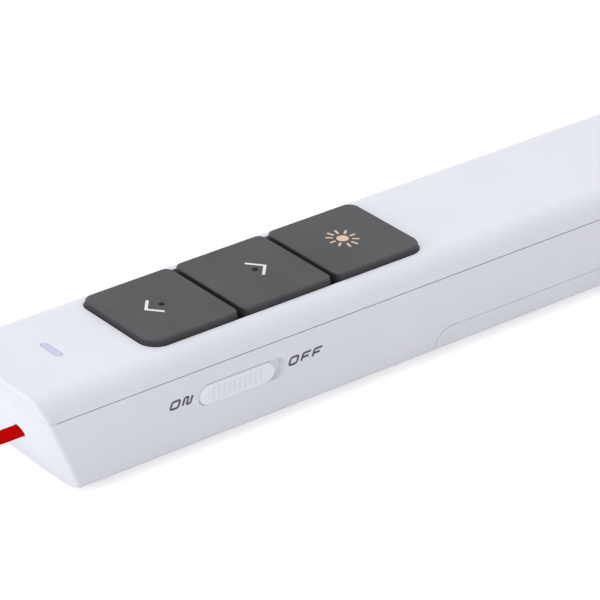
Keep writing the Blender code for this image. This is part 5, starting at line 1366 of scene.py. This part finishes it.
# %% [markdown]
# ## Floor, room and lamps
# The object stands on a white sheet. The camera sees the sheet's own glow added to the light that
# it sends back, so the open floor is white and only the shadow is a little darker. An even room
# does most of the work. The wide lamp overhead stands behind the object: its light fades quickly
# over the near round edge, as in the photograph. A third light before the nose makes that face
# the brightest.

# %% Floor
def seen_rays(tree):
    """1 for the rays that show a surface, straight or mirrored, and 0 for those that light others."""
    kinds = add_node(tree, "ShaderNodeLightPath").outputs
    mirrored = sum_of(tree, "MAXIMUM", kinds["Is Glossy Ray"], kinds["Is Transmission Ray"])
    return sum_of(tree, "MAXIMUM", kinds["Is Camera Ray"], mirrored)


FLOOR_HALF, FLOOR_DROP = 1500, 0.02
floor_corners = [(x * FLOOR_HALF, y * FLOOR_HALF, 0) for x, y in ((-1, -1), (1, -1), (1, 1), (-1, 1))]
floor_mesh = mesh_of(floor_corners, [(0, 1, 2, 3)])
floor = bpy.data.objects.new("floor", floor_mesh)
floor.location = (0, 0, -FLOOR_DROP * MM)
paper = bpy.data.materials.new("white_paper")
paper.use_nodes = True
tree = paper.node_tree
tree.nodes.remove(tree.nodes["Principled BSDF"])
dull = add_node(tree, "ShaderNodeBsdfDiffuse", Color=(0.8, 0.8, 0.8, 1))
glow = add_node(tree, "ShaderNodeEmission", Color=(1, 1, 1, 1))
tree.links.new(sum_of(tree, "MULTIPLY", seen_rays(tree), 0.55), glow.inputs["Strength"])
both = tree.nodes.new("ShaderNodeAddShader")
tree.links.new(dull.outputs[0], both.inputs[0])
tree.links.new(glow.outputs[0], both.inputs[1])
tree.links.new(both.outputs[0], tree.nodes["Material Output"].inputs["Surface"])
floor_mesh.materials.append(paper)
bpy.context.scene.collection.objects.link(floor)

# %% Room light and lamps
world = bpy.data.worlds.new("studio")
world.use_nodes = True
bpy.context.scene.world = world
tree = world.node_tree
ground = tree.nodes["Background"]
ground.inputs["Color"].default_value = (1, 1, 1, 1)
strength = add_node(tree, "ShaderNodeMapRange", i0=seen_rays(tree), i3=0.78, i4=1.0).outputs[0]
tree.links.new(strength, ground.inputs["Strength"])


def lamp(name, place, aim, size, watts):
    """A square soft lamp, its place and aim in metres."""
    data = bpy.data.lights.new(name, "AREA")
    data.size, data.energy = size, watts
    light = bpy.data.objects.new(name, data)
    light.location = place
    light.rotation_mode = "QUATERNION"
    light.rotation_quaternion = (Vector(place) - Vector(aim)).to_track_quat("Z", "Y")
    bpy.context.scene.collection.objects.link(light)
    return light


lamp("overhead", (-0.15, 0.46, 0.85), (0, 0, 0), 0.7, 2.0)
lamp("nose_fill", (-0.85, 0.0, 0.1), (-0.06, 0, 0.01), 0.7, 3.0).visible_glossy = False
bpy.context.scene.view_settings.view_transform = "Standard"
